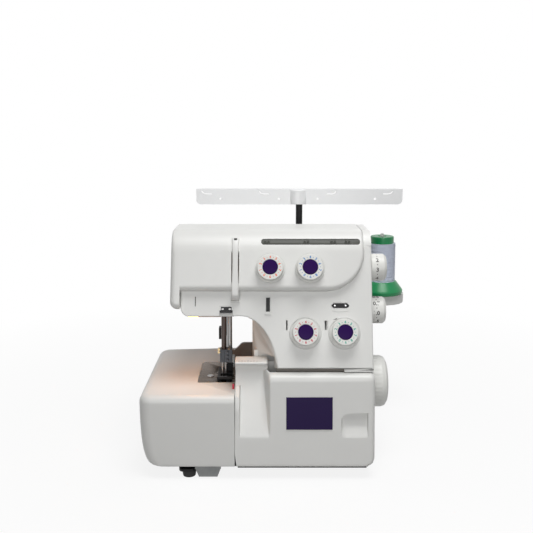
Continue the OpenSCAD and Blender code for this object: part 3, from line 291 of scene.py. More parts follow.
def moulding_group():
    """Moulded plastic: fine grain on slow waviness for the bump, and slow mottling for the colour."""
    group, gin, gout = new_group(
        "moulding",
        [("Colour", "Color", (0.8, 0.8, 0.8, 1)), ("Grain Scale", "Float", 900.0), ("Grain", "Float", 0.5),
         ("Mottle", "Float", 0.03), ("Shift", "Float", 0.05), ("Roughness", "Float", 0.4)],
        [("Colour", "Color"), ("Height", "Float"), ("Roughness", "Float")])
    link = group.links.new
    coord = node(group, "TexCoord")
    grain = node(group, "TexNoise", in_Detail=3.0, in_Roughness=0.6)
    wave = node(group, "TexNoise", in_Scale=14.0, in_Detail=1.0)
    mottle = node(group, "TexNoise", in_Scale=45.0, in_Detail=4.0, in_Roughness=0.65)
    for tex in (grain, wave, mottle):
        link(coord.outputs["Object"], tex.inputs["Vector"])
    link(gin.outputs["Grain Scale"], grain.inputs["Scale"])
    fine = node(group, "Math", operation="MULTIPLY")
    link(grain.outputs["Fac"], fine.inputs[0])
    link(gin.outputs["Grain"], fine.inputs[1])
    height = node(group, "Math", operation="MULTIPLY_ADD", in_1=0.8)
    link(wave.outputs["Fac"], height.inputs[0])
    link(fine.outputs[0], height.inputs[2])
    link(height.outputs[0], gout.inputs["Height"])
    centred = node(group, "Math", operation="SUBTRACT", in_1=0.5)
    link(mottle.outputs["Fac"], centred.inputs[0])
    amount = node(group, "Math", operation="MULTIPLY_ADD", in_2=1.0)
    link(centred.outputs[0], amount.inputs[0])
    link(gin.outputs["Mottle"], amount.inputs[1])
    tint = node(group, "VectorMath", operation="SCALE")
    link(gin.outputs["Colour"], tint.inputs[0])
    link(amount.outputs[0], tint.inputs["Scale"])
    link(tint.outputs[0], gout.inputs["Colour"])
    rough = node(group, "Math", operation="MULTIPLY_ADD")
    link(centred.outputs[0], rough.inputs[0])
    link(gin.outputs["Shift"], rough.inputs[1])
    link(gin.outputs["Roughness"], rough.inputs[2])
    link(rough.outputs[0], gout.inputs["Roughness"])
    return group


def wear_group():
    """Handled edges: a mask from how sharply the surface turns, broken up by noise."""
    group, gin, gout = new_group("edge_wear", [("Amount", "Float", 0.3), ("Scale", "Float", 120.0)],
                                 [("Mask", "Float")])
    link = group.links.new
    shape = node(group, "NewGeometry")
    ridge = node(group, "MapRange", in_From_Min=0.52, in_From_Max=0.62)
    link(shape.outputs["Pointiness"], ridge.inputs["Value"])
    coord = node(group, "TexCoord")
    noise = node(group, "TexNoise", in_Detail=3.0)
    link(coord.outputs["Object"], noise.inputs["Vector"])
    link(gin.outputs["Scale"], noise.inputs["Scale"])
    patch = node(group, "MapRange", in_From_Min=0.4, in_From_Max=0.65)
    link(noise.outputs["Fac"], patch.inputs["Value"])
    both = node(group, "Math", operation="MULTIPLY")
    link(ridge.outputs[0], both.inputs[0])
    link(patch.outputs[0], both.inputs[1])
    out = node(group, "Math", operation="MULTIPLY", use_clamp=True)
    link(both.outputs[0], out.inputs[0])
    link(gin.outputs["Amount"], out.inputs[1])
    link(out.outputs[0], gout.inputs["Mask"])
    return group


def brushed_group():
    """Machined metal: noise drawn out along one direction, for bump and roughness."""
    group, gin, gout = new_group(
        "machining", [("Stretch", "Vector", (900, 900, 30)), ("Roughness", "Float", 0.3),
                      ("Spread", "Float", 0.2)],
        [("Height", "Float"), ("Roughness", "Float"), ("Tone", "Float")])
    link = group.links.new
    coord = node(group, "TexCoord")
    scaled = node(group, "VectorMath", operation="MULTIPLY")
    link(coord.outputs["Object"], scaled.inputs[0])
    link(gin.outputs["Stretch"], scaled.inputs[1])
    lines = node(group, "TexNoise", in_Scale=1.0, in_Detail=3.0, in_Roughness=0.7)
    link(scaled.outputs[0], lines.inputs["Vector"])
    link(lines.outputs["Fac"], gout.inputs["Height"])
    centred = node(group, "Math", operation="SUBTRACT", in_1=0.5)
    link(lines.outputs["Fac"], centred.inputs[0])
    rough = node(group, "Math", operation="MULTIPLY_ADD")
    link(centred.outputs[0], rough.inputs[0])
    link(gin.outputs["Spread"], rough.inputs[1])
    link(gin.outputs["Roughness"], rough.inputs[2])
    link(rough.outputs[0], gout.inputs["Roughness"])
    tone = node(group, "MapRange", in_From_Min=0.3, in_From_Max=0.7)
    link(lines.outputs["Fac"], tone.inputs["Value"])
    link(tone.outputs[0], gout.inputs["Tone"])
    return group


MOULDING, WEAR, MACHINING = moulding_group(), wear_group(), brushed_group()


def start_material(name, metallic=0.0, ior=1.5, specular=0.5):
    """A material with its Principled shader and the flat values on its own sockets."""
    mat = bpy.data.materials.new(name)
    mat.use_nodes = True
    tree = mat.node_tree
    shader = tree.nodes["Principled BSDF"]
    shader.inputs["Metallic"].default_value = metallic
    shader.inputs["IOR"].default_value = ior
    shader.inputs["Specular IOR Level"].default_value = specular
    return mat, tree, shader


def use_group(tree, group, **values):
    """A node that places a shader group with its own values."""
    made = tree.nodes.new("ShaderNodeGroup")
    made.node_tree = group
    for key, value in values.items():
        made.inputs[key.replace("_", " ")].default_value = value
    return made


def bump(tree, height, shader, strength=0.2, distance=0.0002):
    """Feeds a height to the shader's normal."""
    made = node(tree, "Bump", in_Strength=strength, in_Distance=distance)
    tree.links.new(height, made.inputs["Height"])
    tree.links.new(made.outputs["Normal"], shader.inputs["Normal"])


def plastic(name, colour, roughness=0.38, grain=0.5, scale=900.0, mottle=0.03, shift=0.06, wear=0.0,
            worn=(0.9, 0.9, 0.9), strength=0.15, distance=0.00015, specular=0.5):
    """Moulded plastic of one colour with grain, slow mottling and rubbed edges."""
    mat, tree, shader = start_material(name, specular=specular)
    mould = use_group(tree, MOULDING, Colour=(*colour, 1), Grain_Scale=scale, Grain=grain, Mottle=mottle,
                      Shift=shift, Roughness=roughness)
    tree.links.new(mould.outputs["Roughness"], shader.inputs["Roughness"])
    bump(tree, mould.outputs["Height"], shader, strength, distance)
    if wear:
        mask = use_group(tree, WEAR, Amount=wear)
        mix = node(tree, "Mix", data_type="RGBA", in_7=(*worn, 1))
        tree.links.new(mask.outputs["Mask"], mix.inputs[0])
        tree.links.new(mould.outputs["Colour"], mix.inputs[6])
        tree.links.new(mix.outputs[2], shader.inputs["Base Color"])
    else:
        tree.links.new(mould.outputs["Colour"], shader.inputs["Base Color"])
    return mat


def metal(name, dark, light, roughness=0.3, spread=0.2, stretch=(900, 900, 30), strength=0.08, metallic=1.0):
    """Machined metal between two tones that follow its tool marks."""
    mat, tree, shader = start_material(name, metallic=metallic)
    mach = use_group(tree, MACHINING, Stretch=stretch, Roughness=roughness, Spread=spread)
    mix = node(tree, "Mix", data_type="RGBA", in_6=(*dark, 1), in_7=(*light, 1))
    tree.links.new(mach.outputs["Tone"], mix.inputs[0])
    tree.links.new(mix.outputs[2], shader.inputs["Base Color"])
    tree.links.new(mach.outputs["Roughness"], shader.inputs["Roughness"])
    bump(tree, mach.outputs["Height"], shader, strength, 0.0001)
    return mat


def thread_material():
    """Cross-wound thread: fine slanted bands for the bump and the tone."""
    mat, tree, shader = start_material("wound_thread")
    shader.inputs["Sheen Weight"].default_value = 0.3
    coord = node(tree, "TexCoord")
    bands = node(tree, "TexWave", wave_type="BANDS", bands_direction="Z", in_Scale=420.0, in_Distortion=2.0,
                 in_Detail=2.0, in_Detail_Scale=6.0)
    tree.links.new(coord.outputs["Object"], bands.inputs["Vector"])
    slow = node(tree, "TexNoise", in_Scale=160.0, in_Detail=4.0)
    tree.links.new(coord.outputs["Object"], slow.inputs["Vector"])
    mix = node(tree, "Mix", data_type="RGBA", in_6=(0.50, 0.55, 0.68, 1), in_7=(0.74, 0.79, 0.92, 1))
    blend = node(tree, "Math", operation="MULTIPLY_ADD", in_1=0.5)
    tree.links.new(bands.outputs["Fac"], blend.inputs[0])
    half = node(tree, "Math", operation="MULTIPLY", in_1=0.6)
    tree.links.new(slow.outputs["Fac"], half.inputs[0])
    tree.links.new(half.outputs[0], blend.inputs[2])
    tree.links.new(blend.outputs[0], mix.inputs[0])
    tree.links.new(mix.outputs[2], shader.inputs["Base Color"])
    shader.inputs["Roughness"].default_value = 0.7
    bump(tree, bands.outputs["Fac"], shader, 0.5, 0.0002)
    return mat


def lamp_material():
    """Warm lit bulb, its colour mottled by noise between two warm tones."""
    mat, tree, shader = start_material("lit_bulb")
    layer = node(tree, "TexNoise", in_Scale=60.0)
    coord = node(tree, "TexCoord")
    tree.links.new(coord.outputs["Object"], layer.inputs["Vector"])
    mix = node(tree, "Mix", data_type="RGBA", in_6=(1.0, 0.42, 0.10, 1), in_7=(1.0, 0.60, 0.22, 1))
    tree.links.new(layer.outputs["Fac"], mix.inputs[0])
    tree.links.new(mix.outputs[2], shader.inputs["Base Color"])
    tree.links.new(mix.outputs[2], shader.inputs["Emission Color"])
    shader.inputs["Emission Strength"].default_value = 6.0
    shader.inputs["Roughness"].default_value = 0.3
    return mat


SHELL = plastic("shell_plastic", (0.72, 0.72, 0.70), roughness=0.36, grain=0.35, mottle=0.035, wear=0.12,
                worn=(0.80, 0.80, 0.78), strength=0.10)
DIAL_WHITE = plastic("dial_plastic", (0.74, 0.74, 0.71), roughness=0.42, grain=0.5, scale=1300.0, mottle=0.03)
BAR_WHITE = plastic("bar_plastic", (0.82, 0.825, 0.83), roughness=0.3, grain=0.3, mottle=0.03)
BLACK = plastic("black_plastic", (0.007, 0.007, 0.008), roughness=0.42, grain=0.6, scale=1500.0, mottle=0.2,
                wear=0.2, worn=(0.06, 0.06, 0.06), specular=0.22)
RUBBER = plastic("foot_rubber", (0.010, 0.010, 0.010), roughness=0.75, grain=1.0, scale=700.0, mottle=0.3,
                 strength=0.4)
CASTING = plastic("painted_casting", (0.26, 0.27, 0.27), roughness=0.5, grain=1.2, scale=350.0, mottle=0.12,
                  strength=0.5, wear=0.4, worn=(0.5, 0.5, 0.5))
VIOLET = plastic("violet_plastic", (0.021, 0.002, 0.070), roughness=0.34, grain=0.4, scale=1400.0,
                 mottle=0.10, wear=0.1, worn=(0.06, 0.02, 0.13), specular=0.08)
BADGE = plastic("badge_enamel", (0.014, 0.004, 0.050), roughness=0.3, grain=0.2, mottle=0.08, strength=0.05,
                specular=0.15)
GREEN = plastic("green_plastic", (0.0, 0.235, 0.07), roughness=0.32, grain=0.5, scale=900.0, mottle=0.08,
                wear=0.2, worn=(0.2, 0.5, 0.3))
GUIDE_GREY = plastic("guide_lacquer", (0.085, 0.088, 0.078), roughness=0.4, grain=0.6, scale=1200.0,
                     mottle=0.12, specular=0.2)
GUARD = plastic("guard_lacquer", (0.155, 0.142, 0.130), roughness=0.42, grain=1.0, scale=420.0, mottle=0.5,
                strength=0.3, wear=0.3, worn=(0.22, 0.21, 0.20), specular=0.4)
# Dark brown-grey: painted shade for the recess behind the looper cover.
RECESS_SHADE = plastic("recess_painted_shade", (0.20, 0.185, 0.165), roughness=0.6, grain=0.8, mottle=0.15)
# Mid grey: painted shade for the needle guide's inward-tilted skirt.
SKIRT_SHADE = plastic("skirt_painted_shade", (0.42, 0.42, 0.41), roughness=0.45, grain=0.5, mottle=0.08)
RED = plastic("red_mark", (0.45, 0.01, 0.04), roughness=0.4)
SLOT_DARK = plastic("slot_shadow", (0.004, 0.004, 0.004), roughness=0.8)
STEEL = metal("machined_steel", (0.42, 0.42, 0.43), (0.62, 0.62, 0.62), roughness=0.32)
DARK_BAR = metal("oiled_bar", (0.035, 0.030, 0.030), (0.13, 0.105, 0.095), roughness=0.3, spread=0.2,
                 stretch=(900, 900, 20))
GREY_BAR = metal("grey_bar", (0.12, 0.12, 0.12), (0.40, 0.41, 0.41), roughness=0.3, spread=0.2,
                 stretch=(700, 700, 15))
POLISHED = metal("polished_steel", (0.55, 0.55, 0.56), (0.70, 0.70, 0.70), roughness=0.16, spread=0.08,
                 strength=0.03)
BLUED = metal("blued_steel", (0.035, 0.037, 0.042), (0.095, 0.098, 0.105), roughness=0.34, spread=0.25)
# Needle plate steel tinted brown: painted warm reflection of the lamp and of the head's underside.
WARM_REFLECTION_STEEL = metal("needle_plate_painted_reflection", (0.10, 0.072, 0.052), (0.19, 0.14, 0.105), roughness=0.28, spread=0.15,
                stretch=(40, 700, 700))
# Orange-brown: painted glow of the sewing lamp, on the lamp's edge and on a strip behind the needle.
PAINTED_GLOW = plastic("painted_glow_strip", (0.40, 0.16, 0.06), roughness=0.4, grain=0.5, mottle=0.2)
BRASS = metal("brass_screw", (0.55, 0.40, 0.20), (0.80, 0.62, 0.36), roughness=0.3)
THREAD = thread_material()
LAMP = lamp_material()
INK = {n: plastic(n + "_print", c, roughness=0.5, grain=0.2, mottle=0.05) for n, c in (
    ("orange", (0.80, 0.14, 0.05)), ("blue", (0.03, 0.20, 0.50)), ("rose", (0.55, 0.05, 0.07)),
    ("green", (0.02, 0.38, 0.28)), ("black", (0.02, 0.02, 0.02)), ("grey", (0.25, 0.25, 0.24)))}

SLOT_MATERIAL = {
    "white_plastic": SHELL, "black_plastic": BLACK, "black_rubber": RUBBER, "cast_metal": CASTING,
    "steel": STEEL, "polished_steel": POLISHED, "grey_metal": GUIDE_GREY, "dark_steel": BLUED,
    "violet_plastic": VIOLET, "green_plastic": GREEN, "thread": THREAD, "lamp_glass": LAMP}
for name, obj in nodes_of_frame.items():
    obj.data.materials.clear()
    obj.data.materials.append(SLOT_MATERIAL[slot_of[name]])


# ------------------------------------------------------------------ numbers


def word(text, size, bold=0.028):
    """Outline of a few plain figures as flat (points, faces), centred on its own middle."""
    curve = bpy.data.curves.new("figures", "FONT")
    curve.body = text
    curve.size = size
    curve.offset = bold * size
    curve.resolution_u = 2
    holder = bpy.data.objects.new("figures", curve)
    scene.collection.objects.link(holder)
    mesh = bpy.data.meshes.new_from_object(holder)
    flat = np.empty(len(mesh.vertices) * 3, np.float32)
    mesh.vertices.foreach_get("co", flat)
    flat = flat.reshape(-1, 3)[:, :2].astype(float)
    faces = [list(p.vertices) for p in mesh.polygons]
    bpy.data.objects.remove(holder)
    bpy.data.curves.remove(curve)
    bpy.data.meshes.remove(mesh)
    return flat - (flat.min(0) + flat.max(0)) / 2, faces


# ------------------------------------------------------------------ tension dials


def dial_frame(i):
    """Origin and axes (right, up, outwards) of a dial's seat."""
    x, z, _ = DIALS[i]
    depth = bulge_at(z) if z > SEAM_Z else face_at(z)
    out = np.array((0, -math.cos(DIAL_TILT), math.sin(DIAL_TILT)))
    right = np.array((1.0, 0, 0))
    return np.array((x, depth, z)), (right, np.cross(out, right), out)


def tension_dial(i, ink):
    """Flange, ribbed skirt and flat face with a ring of figures; the cap is a shallow dome."""
    origin, axes = dial_frame(i)
    base = DIALS[i][2]
    top = DIAL_H
    flange = rounded([(2.6, base), (DIAL_R, base), (DIAL_R, base + 2.2), (DIAL_R - 1.3, base + 2.7),
                      (DIAL_R - 1.3, base + 3.4)], 0.5)
    skirt = rounded([(DIAL_R - 1.3, base + 3.4), (DIAL_R - 1.6, top - 0.5), (DIAL_R - 2.3, top),
                     (CAP_R + 0.25, top), (CAP_R + 0.25, top - 1.2), (2.6, top - 1.2)], 0.45)

    def ribs(angle, r, h):
        """Shallow grip ribs around the skirt only."""
        on = np.clip((h - base - 3.2) / 0.8, 0, 1) * np.clip((top - 0.7 - h) / 0.6, 0, 1) * (r > DIAL_R - 3)
        return -0.35 * on * np.clip(np.cos(angle * 48), 0, 1)

    side = np.column_stack([np.linspace(DIAL_R - 1.35, DIAL_R - 1.65, 7),
                            np.linspace(base + 3.5, top - 0.7, 7)])
    prof = np.vstack([flange, side, skirt[6:]])
    body = "dial_%d" % (i + 1)
    piece("dial_%d_knob" % (i + 1), lathe(origin, None, prof, 192, ribs, axes), DIAL_WHITE, body,
          ["tension_dial_%d" % (i + 1)], sharp=50)
    dome = [(0.01, top - 1.3), (CAP_R, top - 1.3), (CAP_R, top + 0.1), (CAP_R - 0.4, top + 0.5)]
    dome += [(CAP_R * c, top + 0.5 + 0.35 * (1 - c * c)) for c in (0.85, 0.6, 0.35, 0.01)]
    piece("dial_%d_cap" % (i + 1), lathe(origin, None, rounded(dome, 0.3), 64, None, axes), VIOLET, body,
          ["dial_cap_%d" % (i + 1)], sharp=50)
    marks = []
    for k in range(20):
        a = math.radians(90 - 18 * k)
        spot = 11.0 * np.array((math.cos(a), math.sin(a)))
        if k % 2:
            t = np.linspace(0, 2 * np.pi, 8, endpoint=False)
            flat, faces = spot + 0.42 * np.column_stack([np.cos(t), np.sin(t)]), [list(range(8))]
        else:
            flat, faces = word(str((k // 2 + 4) % 10), 4.0)
            c, s = math.cos(a - math.pi / 2), math.sin(a - math.pi / 2)
            flat = flat @ np.array(((c, s), (-s, c))) + spot
        marks.append((origin + flat[:, :1] * axes[0] + flat[:, 1:] * axes[1] + (top + 0.06) * axes[2], faces))
    piece("dial_%d_figures" % (i + 1), join(*marks), INK[ink], body)


for index, shade in enumerate(("orange", "blue", "rose", "green")):
    tension_dial(index, shade)


# ------------------------------------------------------------------ side knobs and handwheel


AXIS_X = (np.array((0, 0, 1.0)), np.array((0, -1.0, 0)), np.array((1.0, 0, 0)))


def drum_figures(name, z, texts, step, body):
    """Figures wrapped around a knob's drum: angle from the front = place on the drum / radius."""
    x, r = RIGHT_X + 0.8, KNOB_R + 0.06
    marks = []
    for k, text in enumerate(texts):
        flat, faces = word(text, 6.6)
        turn = math.radians(step) * ((len(texts) - 1) / 2 - k) + flat[:, 1] / r
        marks.append((np.column_stack([x + 7.0 + flat[:, 0], KNOB_D - r * np.cos(turn),
                                       z + r * np.sin(turn)]), faces))
    piece(name, join(*marks), INK["black"], body)


def knob_drum(name, z, body, node_name):
    """Drum with a drawn-in outer edge, on its shaft."""
    x = RIGHT_X + 0.8
    prof = rounded([(0.01, 0), (KNOB_R, 0), (KNOB_R, KNOB_H - 3.0), (KNOB_R - 2.5, KNOB_H),
                    (KNOB_R - 5, KNOB_H - 0.1), (KNOB_R - 5.8, KNOB_H - 1.2), (0.01, KNOB_H - 1.2)], 1.2, 5)
    drum = lathe((x, KNOB_D, z), None, prof, 96, None, AXIS_X)
    shaft = lathe((60, KNOB_D, z), None, [(0.01, 0), (4, 0), (4, x - 59), (0.01, x - 59)], 32, None, AXIS_X)
    piece(name, join(drum, shaft), DIAL_WHITE, body, [node_name], sharp=40)


knob_drum("length_knob_drum", KNOB_Z[0], "length_knob", "stitch_length_knob")
drum_figures("length_knob_figures", KNOB_Z[0], ("1", ".", "2", ".", "3", ".", "4", ".", "5"), 21,
             "length_knob")
knob_drum("ratio_knob_drum", KNOB_Z[1], "ratio_knob", "feed_ratio_knob")
drum_figures("ratio_knob_figures", KNOB_Z[1], ("0.5", ".", "0.7", ".", "1.0", ".", "1.5", ".", "2.0"), 21,
             "ratio_knob")


def handwheel():
    """Drum with a shallow groove and a rounded outer edge, dished in the middle of its face."""
    x = RIGHT_X + 2
    prof = rounded([(5.2, 0.5), (WHEEL_R - 1.2, 0), (WHEEL_R, 1.2), (WHEEL_R, WHEEL_W - 7),
                    (WHEEL_R - 1.6, WHEEL_W - 2.6), (WHEEL_R - 6, WHEEL_W), (WHEEL_R - 12, WHEEL_W - 0.6),
                    (WHEEL_R - 16, WHEEL_W - 3), (6, WHEEL_W - 3.4), (0.01, WHEEL_W - 3.4)], 2.2, 6)

    def grips(angle, r, h):
        """Broad shallow flutes around the rim."""
        on = (r > WHEEL_R - 1) * np.clip((h - 2.0) / 2, 0, 1) * np.clip((WHEEL_W - 7.5 - h) / 2, 0, 1)
        return -0.25 * on * (0.5 + 0.5 * np.cos(angle * 36))

    side = np.column_stack([np.full(9, WHEEL_R), np.linspace(1.8, WHEEL_W - 7.4, 9)])
    cut = int(np.argmax(prof[:, 1] > 1.7))
    cut2 = int(np.argmax(prof[:, 1] > WHEEL_W - 7.3))
    prof = np.vstack([prof[:cut], side, prof[cut2:]])
    piece("handwheel_drum", lathe((x, SHAFT_D, SHAFT_Z), None, prof, 216, grips, AXIS_X), DIAL_WHITE, "drive",
          ["handwheel"], sharp=40)


handwheel()


# ------------------------------------------------------------------ spool, cone and pins


def spool():
    """Thread body with wavy wound layers, green cone holder below and green cap above."""
    x, d, z = PINS_X[3], PIN_D, SPOOL_Z
    heights = np.linspace(17.3, 67.7, 150)
    body = np.column_stack([THREAD_R - 0.35 + 0.12 * np.sin(heights * 5.2) + 0.10 * np.sin(heights * 1.3),
                            heights])
    prof = np.vstack([[(11, 17.3)], [(THREAD_R - 1.2, 17.3)], body, [(THREAD_R - 1.2, 67.8)], [(11, 67.8)]])

    def winding(angle, r, h):
        """Slanted layers of thread standing out by a tenth."""
        return 0.10 * np.sin(9 * angle + h * 2.4) * (r > THREAD_R - 1)

    piece("spool_thread", lathe((x, d, z), (0, 0, 1), prof, 96, winding), THREAD, "spool",
          ["thread_spool"], sharp=60)
    cone = rounded([(3.1, 0), (26, 0), (27.6, 1.2), (28, 5), (26.8, 7), (20, 16.2), (19, 17.2), (11, 17.4),
                    (11, 67.6), (15.4, 67.6), (15.5, 76), (14.6, 77), (6.2, 77), (5.0, 75.5), (3.1, 75.5)],
                   0.9, 4)
    piece("spool_cone_and_cap", lathe((x, d, z), (0, 0, 1), cone, 96), GREEN, "spool",
          ["spool_caps"], sharp=40)


spool()

# ------------------------------------------------------------------ housing pieces with rounded edges


def near_panel(p):
    """Edges on the leaning front plane get the full width, other long outer edges a part of it."""
    off = np.abs(p[:, 1] - (PANEL_D + (p[:, 2] - PANEL_Z) * math.tan(LEAN)))
    return np.where(off < 0.08, 1.0, 0.0)


dressed("front_panel", SHELL, 1.6, 4, near_panel)
dressed("rear_cover", SHELL, 0.5, 2, join_flat=False)
dressed("right_cover", SHELL, 0.5, 2)
dressed("spool_stand", SHELL, 1.2, 3)
dressed("spool_pins", DIAL_WHITE, 0.4, 2)
for plain, mat, width in (
        ("base_pan", BLACK, 0.4), ("rubber_feet", RUBBER, 0.6), ("main_frame", CASTING, 0.5),
        ("bed_guard", GUARD, 0.4), ("needle_plate", WARM_REFLECTION_STEEL, 0.25), ("screws", STEEL, 0.25),
        ("lower_knife", STEEL, 0.1), ("lamp_bulb", LAMP, 0.0), ("upper_thread_guide", GUIDE_GREY, 0.3),
        ("power_inlet", BLACK, 0.3), ("power_switch", BLACK, 0.5), ("guide_tube", STEEL, 0.2),
        ("guide_rod", BLACK, 0.2), ("motor", CASTING, 0.6), ("drive_belt", RUBBER, 0.3),
        ("main_shaft", STEEL, 0.3), ("motor_pulley", STEEL, 0.3), ("needle_bar", DARK_BAR, 0.3),
        ("needle_clamp", BLUED, 0.35), ("presser_bar", GREY_BAR, 0.3), ("presser_foot", BLACK, 0.3),
        ("presser_lever", BLACK, 0.5), ("upper_looper", POLISHED, 0.2), ("lower_looper", POLISHED, 0.2),
        ("upper_knife", BLUED, 0.2), ("feed_dog", STEEL, 0.1), ("differential_feed_dog", STEEL, 0.1),
        ("take_up_lever", BLACK, 0.3), ("badge_plate", BADGE, 0.2)):
    dressed(plain, mat, width)

# ------------------------------------------------------------------ upper cover

COVER_TOP, BROW_R, BROW_RISE, CREASE_R = TOP_Z + 0.6, 40.0, 3.2, 3.0
APRON_X, APRON_Z = HEAD_X - 0.3, HEAD_Z + 9.5
BROW_Z = COVER_TOP + BROW_RISE - BROW_R
BROW_C = np.array((bulge_at(BROW_Z) + BROW_R / math.cos(BULGE_LEAN), BROW_Z))
CREASE_TURN = math.asin((COVER_TOP - CREASE_R - BROW_Z) / (BROW_R - CREASE_R))
CREASE_C = BROW_C + (BROW_R - CREASE_R) * np.array((-math.cos(CREASE_TURN), math.sin(CREASE_TURN)))
S_BROW = (BROW_C[1] + BROW_R * math.sin(BULGE_LEAN) - SEAM_Z) / math.cos(BULGE_LEAN)
S_CREASE = S_BROW + BROW_R * (CREASE_TURN - BULGE_LEAN)
S_TOP = S_CREASE + CREASE_R * (math.pi / 2 - CREASE_TURN)
S_BACK = S_TOP + SPLIT_D - 0.2 - CREASE_C[0]
WINDOW, LEVER_SLOT = (-28.5, 82.0, 253.0, 259.0), (-61.4, -52.8, 212.0, 246.0)
HEAD_MIDDLE = np.array((-20.0, 95.0, 215.0))


def cover_side(s):
    """Point (depth, height) and outward normal of the upper cover's side view, a length s up it.

    A plane that leans by BULGE_LEAN, an arc of BROW_R, a tighter one of CREASE_R, then the level top.
    """
    s = np.asarray(s, float)
    turn = np.clip(BULGE_LEAN + (s - S_BROW) / BROW_R, BULGE_LEAN, CREASE_TURN)
    turn = turn + np.clip((s - S_CREASE) / CREASE_R, 0, math.pi / 2 - CREASE_TURN)
    normal = np.stack([-np.cos(turn), np.sin(turn)], -1)
    below, beyond = np.minimum(s - S_BROW, 0)[..., None], np.maximum(s - S_TOP, 0)[..., None]
    up = np.array((math.sin(BULGE_LEAN), math.cos(BULGE_LEAN)))
    on_arc = np.where((s > S_CREASE)[..., None], CREASE_C + CREASE_R * normal, BROW_C + BROW_R * normal)
    return on_arc + below * up + beyond * np.array((1.0, 0.0)), normal


def cover_length(z):
    """Length up the side view at which it reaches a height."""
    z = np.asarray(z, float)
    turn = np.arcsin(np.clip((z - BROW_C[1]) / BROW_R, math.sin(BULGE_LEAN), 1))
    straight = np.minimum(z - BROW_C[1] - BROW_R * math.sin(BULGE_LEAN), 0) / math.cos(BULGE_LEAN)
    return straight + S_BROW + BROW_R * (turn - BULGE_LEAN)


def on_cover(x, s, depth=0.0):
    """Points of the upper cover at x, a length s up its side view, a depth under its surface."""
    point, normal = cover_side(s)
    p = point - normal * np.broadcast_to(depth, np.shape(s))[..., None]
    return np.stack([np.broadcast_to(x, np.shape(s)), p[..., 0], p[..., 1]], -1)


def rim_rows(outer, inner, radius, steps=6):
    """Rows that round an edge: from its foot, a radius deep, to the surface at inner: quarter circles."""
    t = np.linspace(0, math.pi / 2, steps + 1)
    outer, inner = np.asarray(outer, float), np.asarray(inner, float)
    mix = (1 - np.cos(t))[:, None, None]
    line = outer[None] * (1 - mix) + inner[None] * mix
    deep = np.broadcast_to(radius, len(outer))[None, :] * (1 - np.sin(t))[:, None]
    return on_cover(line[..., 0], line[..., 1], deep)


